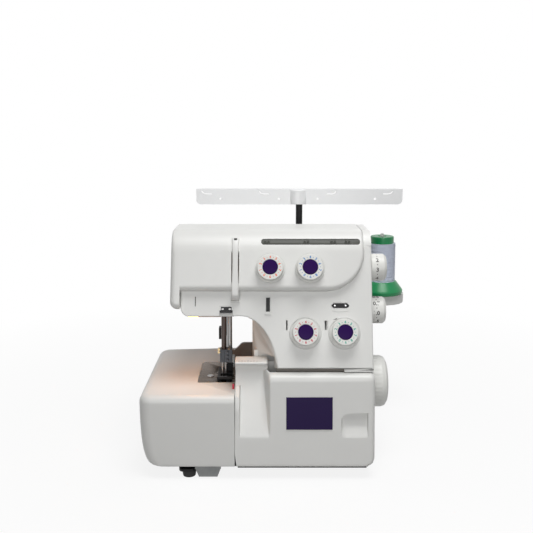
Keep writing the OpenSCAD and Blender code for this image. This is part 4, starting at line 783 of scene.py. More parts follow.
def head_shell():
    """Upper cover as one skin: rounded rims, sweeping lower right corner, left end, slot and window."""
    dip = math.sin(BULGE_LEAN)
    # Right side and sweep: outer and inner lines by angle
    a = np.linspace(-math.pi / 2, 0, 160)
    r = 3.5 + 2.5 * (-a / (math.pi / 2)) ** 1.5
    cx, cz = BULGE_X - SWEEP_R, SEAM_Z + SWEEP_R
    out_line = np.stack([cx + SWEEP_R * np.cos(a), cover_length(cz + (SWEEP_R - 6 * dip) * np.sin(a))], -1)
    in_line = np.stack([cx + (SWEEP_R - r) * np.cos(a),
                        cover_length(cz + (SWEEP_R - 6 * dip - r * math.cos(BULGE_LEAN)) * np.sin(a))], -1)
    s_low, s_side = in_line[0, 1], in_line[-1, 1]
    window_s = cover_length((WINDOW[2], (WINDOW[2] + WINDOW[3]) / 2, WINDOW[3]))
    slot_s = cover_length(LEVER_SLOT[2:])
    rows = np.concatenate([np.interp(np.linspace(-math.pi / 2, 0, 18), a, in_line[:, 1]),
                           [s_low + 0.8, S_BROW - 1.5, S_BROW], np.linspace(S_BROW, S_CREASE, 14),
                           np.linspace(S_CREASE, S_TOP, 5), [S_TOP + 2, S_BACK - 1.5, S_BACK], window_s,
                           slot_s])
    rows = np.unique(np.round(rows, 4))
    keep = np.concatenate([[True], np.diff(rows) > 0.05])
    rows = rows[keep]
    high = np.clip((rows - cover_length(244)) / 22, 0, 1)
    r_right = np.where(rows < s_side, np.interp(rows, in_line[:, 1], r), 3.5 - 0.5 * high)
    in_x = np.where(rows < s_side, np.interp(rows, in_line[:, 1], in_line[:, 0]), BULGE_X - r_right)
    turn = np.interp(rows, in_line[:, 1], a)
    outer = np.stack([np.where(rows < s_side, np.interp(turn, a, out_line[:, 0]), BULGE_X),
                      np.where(rows < s_side, np.interp(turn, a, out_line[:, 1]), rows)], -1)
    r_left = 6 - 3 * high
    # Columns, drawn in to the sweep where it is narrower
    cols = np.array([APRON_X, APRON_X + 1, -90, LEVER_SLOT[0], LEVER_SLOT[1], -40, WINDOW[0], -10, 0, 10, 20,
                     30, 40, 50, 60, 70, 76, WINDOW[1], 200.0])
    gx = np.minimum(cols[None, :], in_x[:, None])
    gs = np.repeat(rows[:, None], len(cols), 1)
    points = on_cover(gx, gs).reshape(-1, 3)
    n = len(cols)
    faces = []
    for i in range(len(rows) - 1):
        for k in range(n - 1):
            lo, hi = rows[i] + 0.06, rows[i + 1] - 0.06
            near, far = cols[k], cols[k + 1]
            in_slot = near >= LEVER_SLOT[0] and far <= LEVER_SLOT[1] and lo > slot_s[0] and hi < slot_s[1]
            in_window = near >= WINDOW[0] and far <= WINDOW[1] and lo > window_s[0] and hi < window_s[2]
            if not (in_slot or in_window):
                faces.append([i * n + k, i * n + k + 1, (i + 1) * n + k + 1, (i + 1) * n + k])
    parts = [(points, faces)]
    # Right side, sweep and bottom edges, with walls that run back
    inner = np.stack([in_x, rows], -1)
    low_cols = cols[cols < cx]
    low_in = np.stack([low_cols, np.full(len(low_cols), s_low)], -1)[::-1]
    low_out = np.stack([low_cols, np.full(len(low_cols), out_line[0, 1])], -1)[::-1]
    edge_out, edge_in = np.vstack([outer[::-1], low_out]), np.vstack([inner[::-1], low_in])
    edge_r = np.concatenate([r_right[::-1], np.full(len(low_cols), 6.0)])
    ring = rim_rows(edge_out, edge_in, edge_r)
    _, normal = cover_side(edge_out[:, 1])
    t = np.clip((edge_out[:, 1] - S_BROW) / 30, 0, 1)[:, None]
    back = (1 - t) * np.array((1.0, 0.0)) - t * normal
    foot = ring[0] + 9 * np.column_stack([0 * back[:, 0], back])
    parts.append((np.vstack([foot[None], ring]).reshape(-1, 3), grid_faces(len(ring) + 1, len(edge_out))))
    # Left end: rounded edge, lower corner, and the side wall to the rear cover
    c = np.array((END_X + 8, APRON_Z + 8 + 6 * dip))
    b = np.linspace(1.5 * math.pi, math.pi, 8)
    corner_out = np.stack([c[0] + 8 * np.cos(b), cover_length(c[1] + 8 * np.sin(b))], -1)
    corner_in = np.stack([c[0] + 2 * np.cos(b), cover_length(c[1] + 2 * np.sin(b))], -1)
    side_s = np.concatenate([np.linspace(corner_in[-1, 1] + 1, s_low - 1, 4), rows])
    side_r = np.concatenate([np.full(4, 6.0), r_left])
    left_out = np.vstack([[(APRON_X, corner_out[0, 1])], corner_out,
                          np.stack([np.full(len(side_s), END_X), side_s], -1)])
    left_in = np.vstack([[(APRON_X, corner_in[0, 1])], corner_in, np.stack([END_X + side_r, side_s], -1)])
    left_r = np.concatenate([np.full(9, 6.0), side_r])
    ring = rim_rows(left_out, left_in, left_r)
    wall = ring[0].copy()
    wall[:, 1] = SPLIT_D - 0.2
    tongue = wall + (3.2, 0, 0)
    parts.append((np.vstack([tongue[None] + (0, 5, 0), tongue[None], wall[None], ring]).reshape(-1, 3),
                  grid_faces(len(ring) + 3, len(left_out))))
    # Surface of the left end, from its rounded edge to the first column
    right_end = on_cover(np.full(len(left_in), APRON_X), left_in[:, 1])
    parts.append(skin([on_cover(left_in[:, 0], left_in[:, 1]), right_end], wrap=False))
    shell = outward(join(*parts), HEAD_MIDDLE)
    # Right wall of the left end below the upper cover's edge
    cut = left_in[:, 1] <= s_low + 0.1
    front = on_cover(np.full(cut.sum(), APRON_X), left_in[cut, 1])
    front = np.vstack([rim_rows(left_out[:1], left_in[:1], [6.0])[:, 0], front[1:]])
    behind = front + (0, 16, 0)
    side = skin([front, behind], wrap=False)
    side = outward(side, np.array((-128.0, 60.0, 190.0)))
    # Walls of the slot and of the window, whose ends are half circles
    holes = []
    for x0, x1, s0, s1, depth, round_end in ((*LEVER_SLOT[:2], *slot_s, 7.0, False),
                                             (*WINDOW[:2], window_s[0], window_s[2], 2.6, True)):
        if round_end:
            half, rise = 3.0, (s1 - s0) / 2
            q = np.linspace(0, math.pi, 13)
            loop = np.vstack([np.column_stack([x1 - half + half * np.sin(q),
                                               (s0 + s1) / 2 - rise * np.cos(q)]),
                              np.column_stack([x0 + half - half * np.sin(q),
                                               (s0 + s1) / 2 + rise * np.cos(q)])])
            for corner, arc in (((x1, s0), loop[:7]), ((x1, s1), loop[6:13]), ((x0, s1), loop[13:20]),
                                ((x0, s0), loop[19:26])):
                fan = np.vstack([[corner], arc])
                holes.append(outward((on_cover(fan[:, 0], fan[:, 1]), [[0, i, i + 1] for i in range(1, 7)]),
                                     HEAD_MIDDLE))
        else:
            mid = rows[(rows > s0 + 0.01) & (rows < s1 - 0.01)]
            up = np.concatenate([[s0], mid, [s1]])
            loop = np.vstack([np.column_stack([np.full(len(up), x1), up]),
                              np.column_stack([np.full(len(up), x0), up[::-1]])])
        lip = on_cover(loop[:, 0], loop[:, 1])
        deep = on_cover(loop[:, 0], loop[:, 1], depth)
        holes.append(skin([deep, lip], wrap=True, flip=True))
    piece("head_cover_shell", join(shell, side, *holes), SHELL, "chassis", ["head_cover"],
          sharp=38, bevel=0.3, segments=2)


head_shell()


def lever_strip():
    """Strip over the take-up slot: rounded bars across, following the cover's side view, down to a ledge."""
    x, n = -57.1, 17
    s = np.concatenate([cover_length((260.0, 259.6, 258.6, 256.0)),
                        np.linspace(cover_length(252.5), cover_length(206), 17)])
    path, normal = cover_side(s)
    share = np.linspace(0, 1, len(s))
    half = 4.15 - 0.95 * np.sin(math.pi * np.clip((share - 0.12) / 0.8, 0, 1)) ** 0.7
    tall = np.concatenate([[0.1, 1.2, 2.1], np.full(len(s) - 3, 2.4)]) + 0.5 * np.sin(math.pi * share) ** 2
    tail = np.array([(26.6, 203.2), (25.6, 201.0), (26.3, 198.0), (28.6, 194.6), (30.4, 192.2)])
    tail_n = np.array([(-1.0, 0.0), (-1.0, 0.0), (-0.94, -0.35), (-0.88, -0.47), (-0.7, -0.7)])
    path = np.vstack([path, tail + 2.4 * (-tail_n)])
    normal = np.vstack([normal, tail_n])
    half = np.concatenate([half, (3.7, 3.9, 4.2, 4.5, 4.5)])
    tall = np.concatenate([tall, (2.4, 2.4, 2.4, 2.4, 1.2)])
    a = np.linspace(0, math.pi, n)
    across = np.sign(np.cos(a)) * np.abs(np.cos(a)) ** 0.45
    lift = np.sin(a) ** 0.45
    loops = []
    for p, m, w, t in zip(path, normal, half, tall):
        side = np.column_stack([x + w * across, p[0] + m[0] * (t * lift), p[1] + m[1] * (t * lift)])
        foot = np.array([(x - w, p[0] - 3 * m[0], p[1] - 3 * m[1]),
                         (x + w, p[0] - 3 * m[0], p[1] - 3 * m[1])])
        loops.append(np.vstack([side, foot]))
    strip = outward(skin(loops, first=True, last=True), np.array((x, 60.0, 225.0)))
    hole_s = cover_length((256.5, 258.1))
    hole_x, hole_s = np.array((x - 1.5, x + 1.9, x + 1.9, x - 1.5)), hole_s[[0, 0, 1, 1]]
    loops = [on_cover(hole_x, hole_s, depth) for depth in (1.0, -2.75)]
    hole = outward(skin(loops, first=True, last=True), on_cover(hole_x, hole_s, 0.0).mean(0))
    ledge = box_faces(x - 5.2, x + 5.2, 31.6, 37.0, 190.4, 192.6, 0.8)
    piece("take_up_strip", join(strip, ledge), SHELL, "chassis", ["take_up_cover"], sharp=50)
    # A near-black box fills the strip's hole: painted shade of its opening.
    piece("take_up_strip_hole", hole, SLOT_DARK, "chassis")


lever_strip()

# ------------------------------------------------------------------ cloth plate

CLOTH_Z, CLOTH_EDGE, NOTCH = 94.0, -57.3, (-101.5, 45.6, 120.9)
CLOTH_MIDDLE = np.array((-100.0, 90.0, 50.0))


def cloth_shell():
    """Cloth plate: plan outlines stacked by height, drawn in over the rounded top, bellied at the left."""
    turn = np.linspace(0, math.pi / 2, 9)
    levels = np.concatenate([[14.6, 14.9, 15.8, 17.5, 20, 24, 30, 38, 48, 60, 72, 84],
                             CLOTH_Z - 8 + 8 * np.sin(turn)])
    front = np.concatenate([[1.2, 0.35, 0], np.zeros(9), 8 * (1 - np.cos(turn))])
    left = np.interp(levels, (14.6, 14.9, 15.8, 17.5, 20, 24, 30, 38, 48, 60, 72, 84),
                     (-147.5, -149.0, -151.8, -153.6, -155.2, -156.8, -158.4, -159.8, -160.8, -161.5, -161.9,
                      -162.0))
    over = np.clip(levels - (CLOTH_Z - 9), 0, 9)
    left += 9 - np.sqrt(81 - over ** 2)
    loops = []
    q = np.linspace(0, math.pi / 2, 9)

    def outline(x, draw, z):
        """Plan outline at a height: front edge, two left corners, back edge."""
        r = 14 - min(draw, 9)
        fl = np.column_stack([x + r - r * np.sin(q), draw + r - r * np.cos(q)])
        back = 179 - draw
        bl = np.column_stack([x + r - r * np.cos(q), back - r + r * np.sin(q)])
        line = np.vstack([[(CLOTH_EDGE, draw), (CLOTH_EDGE - 1, draw), (-100, draw)], fl, bl,
                          [(-100, back + 4), (CLOTH_EDGE, back + 8)]])
        return np.column_stack([line, np.full(len(line), z)])

    for z, draw, x in zip(levels, front, left):
        loops.append(outline(x, draw, z))
    loops.append(outline(left[-1] + 1.5, 9.5, CLOTH_Z))
    body = skin(loops, wrap=False)
    rim = loops[-1]
    x0, d0, d1 = NOTCH
    notch = np.vstack([[(CLOTH_EDGE, d1)],
                       np.column_stack([x0 + 6.5 - 6.5 * np.sin(q), d1 - 6.5 + 6.5 * np.cos(q)]),
                       np.column_stack([x0 + 2.4 - 2.4 * np.cos(q), d0 + 2.4 - 2.4 * np.sin(q)]),
                       [(CLOTH_EDGE, d0)]])
    notch = np.column_stack([notch, np.full(len(notch), CLOTH_Z)])
    top = (np.vstack([rim, notch]), [list(range(len(rim) + len(notch)))])
    sides = skin([notch - (0, 0, 2.8), notch], wrap=False)
    shell = join(outward(body, CLOTH_MIDDLE), outward(top, CLOTH_MIDDLE), sides)
    piece("cloth_plate_shell", shell, SHELL, "cloth_plate", ["cloth_plate"], sharp=38,
          wall=2.2)


cloth_shell()

# ------------------------------------------------------------------ looper cover

THUMB = (59.0, 47.0, 88.4, 74.0)
END_R, TOP_R, WALL_BACK, SCOOP_EDGE = 4.9, 8.0, 18.3, -18.3


def cover_front(z):
    """Depth of the looper cover's leaning front at a height."""
    return 7 * (np.asarray(z, float) - SKIRT_Z) / (COVER_Z - TOP_R - SKIRT_Z)


def looper_shell():
    """Looper cover: its side view swept along X, blended into the scoop's on the left, with rounded ends."""
    turn = np.linspace(0, math.pi / 2, 9)
    plain = np.array([SKIRT_Z + 0.1, SKIRT_Z + 0.5, SKIRT_Z + 1.5, 18, 22.5, 30, 38, 44, 46, THUMB[1], 48.5,
                      50.5, 54, 60, 64, THUMB[3], 80, 90, 98, 102, 105, 107])
    z = np.concatenate([plain, COVER_Z - TOP_R + TOP_R * np.sin(turn), [COVER_Z]])
    d = np.concatenate([cover_front(plain) + np.array([1.1, 0.4, 0] + [0] * (len(plain) - 3)),
                        7 + TOP_R - TOP_R * np.cos(turn), [WALL_BACK]])
    nd = np.concatenate([np.full(len(plain), -1.0), -np.cos(turn), [0.0]])
    nz = np.concatenate([np.full(len(plain), 0.07), np.sin(turn), [1.0]])
    scoop_z = (0, 46, 48.5, 50.5, 54, 60, 74, 90, 98, 102, 105, 108, 111, 115.5)
    scoop_d = (0, 0.0, 0.35, 1.3, 2.6, 4.7, 9.7, 16.0, 19.3, 20.7, 21.6, 22.3, 22.7, 22.7)
    scoop = np.maximum(cover_front(z) + np.interp(z, scoop_z, scoop_d), d)
    gap = scoop - d
    width = 2.2 + 0.28 * gap
    xr = 96 - np.where(z < 23, 8 - np.sqrt(np.clip(64 - (23 - z) ** 2, 0, None)), 0)
    xl = -57 + 1.8 * np.clip((27 - z) / 12, 0, 1)
    blend = np.linspace(0, 1, 10)
    cols = np.array([-52.4, -51.2, -40.0, -30.0, -10.0, 5.0, 20.0, 35.0, 50.0, THUMB[0], 68.0, 78.0,
                     THUMB[2]])
    rows = []
    for k in range(len(z)):
        bend = SCOOP_EDGE - width[k] * (1 - blend)
        x = np.concatenate([[xl[k], xl[k] + 0.9], cols[:4], bend, [-16.5], cols[4:], [xr[k] - END_R]])
        s = np.clip((x - (SCOOP_EDGE - width[k])) / width[k], 0, 1)
        s = s * s * (3 - 2 * s)
        open_left = np.maximum(np.clip((x + 52.4) / 1.2, 0, 1), np.clip((z[k] - 88) / 10, 0, 1))
        depth = d[k] + (scoop[k] - d[k]) * (1 - s) * open_left
        rows.append(np.column_stack([x, depth, np.full(len(x), z[k])]))
    rows = np.array(rows)
    n = rows.shape[1]
    c0, c1 = (int(np.argmin(np.abs(rows[0, :, 0] - x))) for x in (THUMB[0], THUMB[2]))
    r0, r1 = (int(np.argmin(np.abs(z - h))) for h in (THUMB[1], THUMB[3]))
    faces = [[i * n + k, i * n + k + 1, (i + 1) * n + k + 1, (i + 1) * n + k]
             for i in range(len(z) - 1) for k in range(n - 1) if not (r0 <= i < r1 and c0 <= k < c1)]
    parts = [(rows.reshape(-1, 3), faces)]
    # Right end: the side view drawn in round the edge, then the side wall
    t = np.linspace(0, math.pi / 2, 8)
    ring = np.array([np.column_stack([xr - END_R * (1 - math.sin(q)), d - nd * END_R * (1 - math.cos(q)),
                                      z - nz * END_R * (1 - math.cos(q))]) for q in t])
    wall = ring[-1].copy()
    wall[:, 1] = WALL_BACK
    parts.append((np.vstack([ring, wall[None]]).reshape(-1, 3), grid_faces(len(ring) + 1, len(z))))
    # Left end wall and the drop behind the top edge
    left = rows[:, 0]
    parts.append(skin([left + (0, 14, 0), left], wrap=False))
    back = rows[-1, 6 + 9:]
    parts.append(skin([back - (0, 0, 3), back], wrap=False))
    shell = outward(join(*parts), np.array((20.0, 45.0, 60.0)))
    # Thumb grip: deep under its upper edge, running out along its lower one
    x0, z0, x1, z1 = THUMB
    q = np.linspace(0, math.pi / 2, 7)
    mid_rows = z[r0:r1 + 1]
    col_x = rows[0, c0:c1 + 1, 0]
    high_r, low_r, tiny = 9, 6, 1e-6
    corner = np.column_stack([x0 + high_r * (1 - np.cos(q)), z1 - high_r * (1 - np.sin(q))])
    left_side = [(x0, h) for h in mid_rows if h <= z1 - high_r]
    top_side = [(c, z1) for c in col_x if c >= x0 + high_r - tiny]
    low_corner = np.column_stack([x0 + low_r * (1 - np.sin(q)), z0 + low_r * (1 - np.cos(q))])
    left_side = [p for p in left_side if p[1] > z0 + low_r + tiny]
    first = 0 if left_side[-1][1] < z1 - high_r - tiny else 1
    lip = np.array([(c, z0) for c in col_x[::-1] if c > x0 + low_r + tiny] + list(map(tuple, low_corner))
                   + left_side + list(map(tuple, corner[first:]))
                   + [p for p in top_side if p[0] > x0 + high_r + tiny]
                   + [(x1, h) for h in mid_rows[::-1][1:-1]])
    lip3 = np.column_stack([lip[:, 0], cover_front(lip[:, 1]), lip[:, 1]])
    u = (lip - (x0, z0)) / (x1 - x0, z1 - z0)
    inner = np.column_stack([x0 + 1.8 + u[:, 0] * (x1 - x0 - 2.6), z0 + 10 + u[:, 1] * (z1 - z0 - 11.2)])
    inner3 = np.column_stack([inner[:, 0], 7.9 + 0 * inner[:, 0], inner[:, 1]])
    rings = [lip3 * (1 - f) + inner3 * f for f in (0, 0.35, 0.7)]
    rings.append(inner3)
    pocket = skin(rings, wrap=True, last=True)
    pocket = outward(pocket, np.array((74.0, -60.0, 60.0)))
    pocket = (pocket[0], [f[::-1] for f in pocket[1]])
    fillers = []
    for spot, arc in (((x0, z1), corner), ((x0, z0), low_corner)):
        fan = np.vstack([[spot], arc])
        fan3 = np.column_stack([fan[:, 0], cover_front(fan[:, 1]), fan[:, 1]])
        corner_faces = [[0, i, i + 1] for i in range(1, len(fan3) - 1)]
        fillers.append(outward((fan3, corner_faces), np.array((70.0, 45.0, 60.0))))
    # Shelf over the scoop, with a rounded nose and a rounded right end
    nose = np.array([(27.9, 114.5), (27.8, 117.0), (27.0, 119.6), (25.2, 121.4), (22.6, 122.4), (20.9, 122.9),
                     (20.15, 123.6), (20, 124.4), (20.15, 125.2), (20.7, 125.8), (21.6, 126.0), (23.0, 126.0),
                     (41.5, 126.0), (42.0, 125.5), (42.0, 123.2), (29.0, 123.2), (29.0, 114.5)])
    ends = [(-57.2, 1.0), (-56.4, 0.0), (-24.0, 0.0), (-22.6, 0.35), (-21.7, 1.1), (-21.3, 2.2)]
    centre = nose.mean(0)
    inward = (centre - nose) / np.linalg.norm(centre - nose, axis=1)[:, None]
    shelf = [np.column_stack([np.full(len(nose), x), *(nose + inward * k).T]) for x, k in ends]
    shelf = outward(skin(shelf, first=True, last=True), np.array((-40.0, 30.0, 122.0)))
    piece("looper_cover_shell", join(shell, pocket, *fillers, shelf), SHELL, "cover",
          ["looper_cover"], sharp=38, bevel=0.5, segments=3)
    plate_x, plate_z = np.array((-2.5, 51.0, 51.0, -2.5)), np.array((54.5, 54.5, 93.0, 93.0))
    backing = [np.column_stack([plate_x, cover_front(plate_z) + deep, plate_z]) for deep in (0.5, 3.2)]
    piece("badge_backing", outward(skin(backing, first=True, last=True), np.vstack(backing).mean(0)), SHELL,
          "cover")
    ticks = [box_faces(x - 0.2, x + 0.2, 22.5, 25.5 + 2 * (k % 2), 125.9, 126.08, 0.05, 1)
             for k, x in enumerate(np.linspace(-53, -33, 7))]
    # Thin black strip under the cover's lower edge: painted shadow of the gap above the base pan.
    piece("cover_edge_shadow_strip", box_faces(-54.0, 87.0, 1.7, 4.0, 12.9, 14.9, 0.2), SLOT_DARK, "cover")
    piece("shelf_marks", join(*ticks), INK["grey"], "cover")


looper_shell()

# ------------------------------------------------------------------ thread guides on the front panel


def on_panel(part, z):
    """Part drawn upright around depth 0, laid on the leaning front panel from a height upwards."""
    p, c, s = np.asarray(part[0], float), math.cos(LEAN), math.sin(LEAN)
    rise = p[:, 2] - z
    laid = np.column_stack([p[:, 0], face_at(z) + p[:, 1] * c + rise * s, z - p[:, 1] * s + rise * c])
    return laid, part[1]


def slab(outline, lift, sink=1.0):
    """Flat plate over an outline of (x, height), from sink under the panel to lift over it."""
    o = np.asarray(outline, float)
    loops = [np.column_stack([o[:, 0], np.full(len(o), d), o[:, 1]]) for d in (sink, -lift)]
    part = skin(loops, first=True, last=True)
    return on_panel(outward(part, np.append(np.append(o.mean(0)[:1], (sink - lift) / 2), o.mean(0)[1])),
                    o[:, 1].min())


def ends_pointed(x0, x1, z0, z1, tip):
    """Outline with both ends drawn out to a blunt point."""
    m, h = (z0 + z1) / 2, (z1 - z0) / 2
    return [(x0, m - h * 0.35), (x0 + tip, z0), (x1 - tip, z0), (x1, m - h * 0.35), (x1, m + h * 0.35),
            (x1 - tip, z1), (x0 + tip, z1), (x0, m + h * 0.35)]


def square(x0, x1, z0, z1):
    """Corners of a rectangle."""
    return [(x0, z0), (x1, z0), (x1, z1), (x0, z1)]


def panel_guides():
    """Needle thread guide, upright slot with its ledge, level guide with two buttons, and two small marks."""
    bands = [slab(square(-73.0, -61.0, 181.2, 185.3), 0.5), slab(square(-74.4, -60.0, 178.9, 181.6), 1.5)]
    piece("needle_guide_bands", join(*bands), BLACK, "chassis", ["needle_thread_guide"],
          bevel=0.25)
    whites = [slab(square(-74.5, -60.0, 185.9, 187.2), 0.7), slab(square(-72.3, -69.9, 182.0, 183.7), 0.8),
              slab(square(-64.4, -61.8, 182.0, 183.7), 0.8)]
    piece("needle_guide_rim", join(*whites), SHELL, "chassis", bevel=0.2)
    # The skirt's grey is painted shade of its inward tilt.
    piece("needle_guide_skirt", slab([(-75.8, 174.9), (-58.6, 174.9), (-60.0, 178.9), (-74.4, 178.9)], 0.35),
          SKIRT_SHADE, "chassis", bevel=0.2)
    hexagon = ends_pointed(49.6, 69.0, 184.0, 189.2, 2.2)
    # The upright slot is a flat black slab: painted shade for its opening.
    dark = [slab(square(-23.0, -18.7, 180.2, 195.6), 0.25), slab(hexagon, 0.55)]
    piece("looper_guide_slots", join(*dark), BLACK, "chassis", ["looper_thread_guides"],
          bevel=0.2)
    rims = [slab(square(-23.9, -23.0, 180.0, 196.3), 0.5), slab(square(-18.7, -17.8, 180.0, 196.3), 0.5),
            slab(square(-23.0, -18.7, 195.6, 196.5), 0.5), slab(square(-24.6, -17.2, 177.0, 179.8), 1.6),
            slab(square(51.4, 67.2, 189.7, 191.2), 0.8),
            slab(ends_pointed(50.6, 68.0, 180.0, 183.3, 2.6), 0.45)]
    piece("looper_guide_rims", join(*rims), SHELL, "chassis", bevel=0.25)
    t = np.linspace(0, 2 * np.pi, 16, endpoint=False)
    buttons = [slab(np.column_stack([x + 0.95 * np.cos(t), 186.6 + 0.95 * np.sin(t)]), 1.1)
               for x in (53.2, 65.2)]
    piece("looper_guide_buttons", join(*buttons), STEEL, "chassis", bevel=0.2)
    piece("head_line", slab(square(-101.9, -100.9, 185.8, 196.4), 0.06), INK["black"], "chassis")
    piece("seam_mark", box_faces(-60.6, -58.3, 24.0, 27.0, 93.8, 99.4, 0.4), RED, "cloth_plate")


panel_guides()

# ------------------------------------------------------------------ needle clamp, foot and lever details


def small_parts():
    """Clamp holes as discs of painted shade, clamp screws, the lit window under the head, and painted lamp
    glow on its edge and on a strip behind the needle.
    """
    t = np.linspace(0, 2 * np.pi, 12, endpoint=False)

    def disc(x, d, z, r, deep):
        """Short rod along the depth: r cos, r sin about a middle."""
        ring = [np.column_stack([x + r * np.cos(t), np.full(12, d + k), z + r * np.sin(t)])
                for k in (0, deep)]
        return outward(skin(ring, first=True, last=True), np.array((x, d + deep / 2, z)))

    piece("clamp_holes", join(*[disc(-67.6, 56.35, z, 1.15, 0.4) for z in (117.6, 121.4, 125.2)]), SLOT_DARK,
          "needle_drive")
    piece("clamp_screws", join(*[disc(-77.2, 55.2, z, 1.35, 5.0) for z in (126.4, 129.6)]), BRASS,
          "needle_drive")
    piece("lamp_window", box_faces(-109.5, -98.5, 33.4, 43.0, 172.7, 174.6, 0.5), LAMP, "chassis")
    # The lamp's edge and the strip behind the needle carry painted lamp glow.
    piece("lamp_edge_glow", box_faces(-98.5, -73.0, 33.4, 35.5, 173.6, 174.6, 0.2), PAINTED_GLOW, "chassis")
    piece("painted_glow_strip", box_faces(-74.6, -72.9, 71.0, 72.5, 151.0, 175.0, 0.3), PAINTED_GLOW, "chassis")


small_parts()

# ------------------------------------------------------------------ recess behind the looper cover

# Dark floor in the recess: painted shade.
piece("recess_shade_floor", box_faces(-12.0, 93.0, 21.5, 23.0, 113.5, 119.8, 0.3), RECESS_SHADE, "chassis")
piece("recess_wall", box_faces(-36.5, -8.0, 43.2, 44.6, 97.0, 133.0, 0.4), SHELL, "chassis")

# ------------------------------------------------------------------ thread guide bar


def guide_bar():
    """Plate with rounded lower corners, four hooked slots open at its top, four holes, a pole swelling."""
    x0, x1, top, low = POLE_X - BAR_LEN / 2, POLE_X + BAR_LEN / 2, BAR_Z, BAR_Z - BAR_H
    corner, half_slot, thick = 6, 0.8, 2.5
    hole_x, hole_r, hole_drop = (-81.4, -6.7, 42.7, 116.0), 1.5, 12.4
    swell_x, swell_r = POLE_X - 1.5, 13
    q = np.linspace(0, math.pi / 2, 7)
    outline = [(x0 + corner * (1 - np.cos(a)), low + corner * (1 - np.sin(a))) for a in q]
    outline += [(x1 - corner * (1 - np.sin(a)), low + corner * (1 - np.cos(a))) for a in q]
    outline.append((x1, top))
    for start, way in ((138.5, -1), (66.4, -1), (-31.8, 1), (-104.8, 1)):
        path = np.array([(start, top), (start + 0.3 * way, top - 2.6), (start + 1.4 * way, top - 4.7),
                         (start + 3.6 * way, top - 5.9), (start + 6.5 * way, top - 6.2),
                         (start + 12.4 * way, top - 6.2)])
        run = np.gradient(path, axis=0)
        run /= np.linalg.norm(run, axis=1)[:, None]
        side = np.column_stack([-run[:, 1], run[:, 0]]) * half_slot
        side[0] = (half_slot, 0)
        right, left = path + side, path - side
        outline += list(map(tuple, right)) + list(map(tuple, left[::-1]))
    outline.append((x0, top))
    t = np.linspace(0, 2 * np.pi, 20, endpoint=False)
    holes = [np.column_stack([x + hole_r * np.cos(t), top - hole_drop - hole_r * np.sin(t)]) for x in hole_x]
    loops = [np.array(outline)] + holes
    flat = [Vector((*p, 0)) for loop in loops for p in loop]
    tris = tessellate_polygon([[Vector((*p, 0)) for p in loop] for loop in loops])
    every = np.array([(p.x, p.y) for p in flat])
    parts = []
    for depth, facing in ((BAR_D, -1), (BAR_D + thick, 1)):
        points = np.column_stack([every[:, 0], np.full(len(every), depth), every[:, 1]])
        faces = []
        for tri in tris:
            a, b, c = points[list(tri)]
            faces.append(list(tri) if np.cross(b - a, c - a)[1] * facing > 0 else list(tri)[::-1])
        parts.append((points, faces))
    for loop in loops:
        front = np.column_stack([loop[:, 0], np.full(len(loop), BAR_D), loop[:, 1]])
        parts.append(skin([front, front + (0, thick, 0)], flip=False))
    parts.append(box_faces(x0 + 0.2, x1 - 0.2, BAR_D + 2.3, BAR_D + 14, top - 2.5, top - 0.05, 0.4))
    a = np.linspace(math.radians(218), math.radians(322), 13)
    column = [np.column_stack([swell_x + swell_r * np.cos(a), BAR_D + 8.0 + swell_r * np.sin(a),
                               np.full(len(a), z)])
              for z in (low + 0.3, low + 1.2, top - 1.6, top - 0.7)]
    column[0][:, 1] += 0.9
    column[-1][:, 1] += 0.9
    parts.append(outward(skin(column, first=True, last=True),
                         np.array((swell_x, BAR_D + 3.0, (top + low) / 2))))
    parts.append(lathe((POLE_X, POLE_D, low), (0, 0, 1),
                       rounded([(4.4, 0), (8.5, 0), (8.5, BAR_H - 0.1), (0.01, BAR_H - 0.1)], 0.5), 48))
    piece("guide_bar_plate", join(*parts), BAR_WHITE, body_of["thread_guide_bar"],
          ["thread_guide_bar"], sharp=35)


guide_bar()

# ------------------------------------------------------------------ stage, light and camera


def stage_material():
    """Pale floor that keeps shadows, over a white view of the world."""
    mat, tree, shader = start_material("studio_floor")
    coord = node(tree, "TexCoord")
    noise = node(tree, "TexNoise", in_Scale=8.0)
    tree.links.new(coord.outputs["Object"], noise.inputs["Vector"])
    mix = node(tree, "Mix", data_type="RGBA", in_6=(0.93, 0.93, 0.93, 1), in_7=(0.95, 0.95, 0.95, 1))
    tree.links.new(noise.outputs["Fac"], mix.inputs[0])
    path = node(tree, "LightPath")
    dim = node(tree, "Mix", data_type="RGBA", in_6=(0.34, 0.34, 0.34, 1))
    tree.links.new(path.outputs["Is Camera Ray"], dim.inputs[0])
    tree.links.new(mix.outputs[2], dim.inputs[7])
    tree.links.new(dim.outputs[2], shader.inputs["Base Color"])
    shader.inputs["Roughness"].default_value = 0.9
    shader.inputs["Specular IOR Level"].default_value = 0.0
    glow = node(tree, "Emission", in_Color=(1, 1, 1, 1), in_Strength=1.0)
    blend = node(tree, "MixShader")
    reach = node(tree, "VectorMath", operation="LENGTH")
    tree.links.new(coord.outputs["Object"], reach.inputs[0])
    fade = node(tree, "MapRange", in_From_Min=0.2, in_From_Max=0.75, in_To_Min=0.86, in_To_Max=1.0)
    tree.links.new(reach.outputs["Value"], fade.inputs["Value"])
    part = node(tree, "Math", operation="MULTIPLY")
    tree.links.new(fade.outputs[0], part.inputs[1])
    seen = node(tree, "Math", operation="MAXIMUM")
    tree.links.new(path.outputs["Is Camera Ray"], seen.inputs[0])
    tree.links.new(path.outputs["Is Glossy Ray"], seen.inputs[1])
    tree.links.new(seen.outputs[0], part.inputs[0])
    tree.links.new(part.outputs[0], blend.inputs[0])
    tree.links.new(shader.outputs[0], blend.inputs[1])
    tree.links.new(glow.outputs[0], blend.inputs[2])
    tree.links.new(blend.outputs[0], tree.nodes["Material Output"].inputs["Surface"])
    return mat


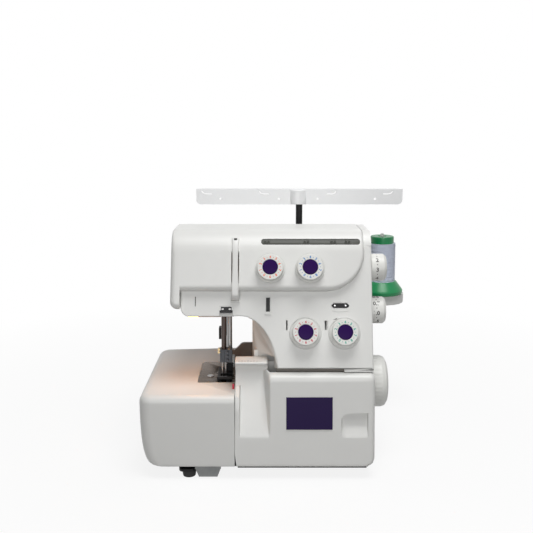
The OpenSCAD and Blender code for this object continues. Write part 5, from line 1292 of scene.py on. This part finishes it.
floor_mesh = bpy.data.meshes.new("studio_floor")
floor_mesh.from_pydata([(-6, -6, 0), (6, -6, 0), (6, 6, 0), (-6, 6, 0)], [], [(0, 1, 2, 3)])
floor_mesh.materials.append(stage_material())
floor = bpy.data.objects.new("studio_floor", floor_mesh)
scene.collection.objects.link(floor)

world = bpy.data.worlds.new("studio_world")
world.use_nodes = True
scene.world = world
tree = world.node_tree
sky = tree.nodes["Background"]
sky.inputs["Color"].default_value = (1, 1, 1, 1)
path = tree.nodes.new("ShaderNodeLightPath")
seen = tree.nodes.new("ShaderNodeMath")
seen.operation = "MAXIMUM"
seen2 = tree.nodes.new("ShaderNodeMath")
seen2.operation = "MAXIMUM"
level = tree.nodes.new("ShaderNodeMapRange")
level.inputs["To Min"].default_value = 0.10
level.inputs["To Max"].default_value = 1.0
tree.links.new(path.outputs["Is Camera Ray"], seen.inputs[0])
tree.links.new(path.outputs["Is Transmission Ray"], seen.inputs[1])
tree.links.new(seen.outputs[0], seen2.inputs[0])
tree.links.new(path.outputs["Is Glossy Ray"], seen2.inputs[1])
tree.links.new(seen2.outputs[0], level.inputs["Value"])
tree.links.new(level.outputs[0], sky.inputs["Strength"])


def softbox(name, spot, aim, size, power, colour=(1, 1, 1)):
    """A square area lamp at a spot, turned to an aim point."""
    lamp = bpy.data.lights.new(name, "AREA")
    lamp.energy = power
    lamp.size = size
    lamp.color = colour
    obj = bpy.data.objects.new(name, lamp)
    scene.collection.objects.link(obj)
    gaze = np.array(aim, float) - np.array(spot, float)
    gaze /= np.linalg.norm(gaze)
    obj.location = spot
    obj.rotation_euler = (math.atan2(math.hypot(gaze[0], gaze[1]), -gaze[2]), 0,
                          math.atan2(-gaze[0], gaze[1]))
    return obj


softbox("key_softbox", (0.16, -0.40, 1.40), (0, 0, 0.2), 0.7, 12.3)
softbox("front_softbox", (-0.1, -1.7, 0.45), (0, 0, 0.17), 1.0, 9.6)
softbox("back_softbox", (0.3, 0.9, 1.2), (0, 0, 0.15), 0.8, 2.6)
softbox("sewing_lamp", (-0.104, -0.076, 0.1735), (-0.108, -0.070, 0.09), 0.012, 0.05, (1.0, 0.42, 0.14))

eye = bpy.data.cameras.new("view")
eye.sensor_width = 36.0
eye.lens = 741.0 / 533.0 * 36.0
eye.shift_y = -48.5 / 533.0
camera = bpy.data.objects.new("view", eye)
camera.location = (-0.0225, -0.892, 0.3831)
camera.rotation_euler = (math.radians(83), 0, 0)
scene.collection.objects.link(camera)
scene.camera = camera
scene.view_settings.view_transform = "Standard"
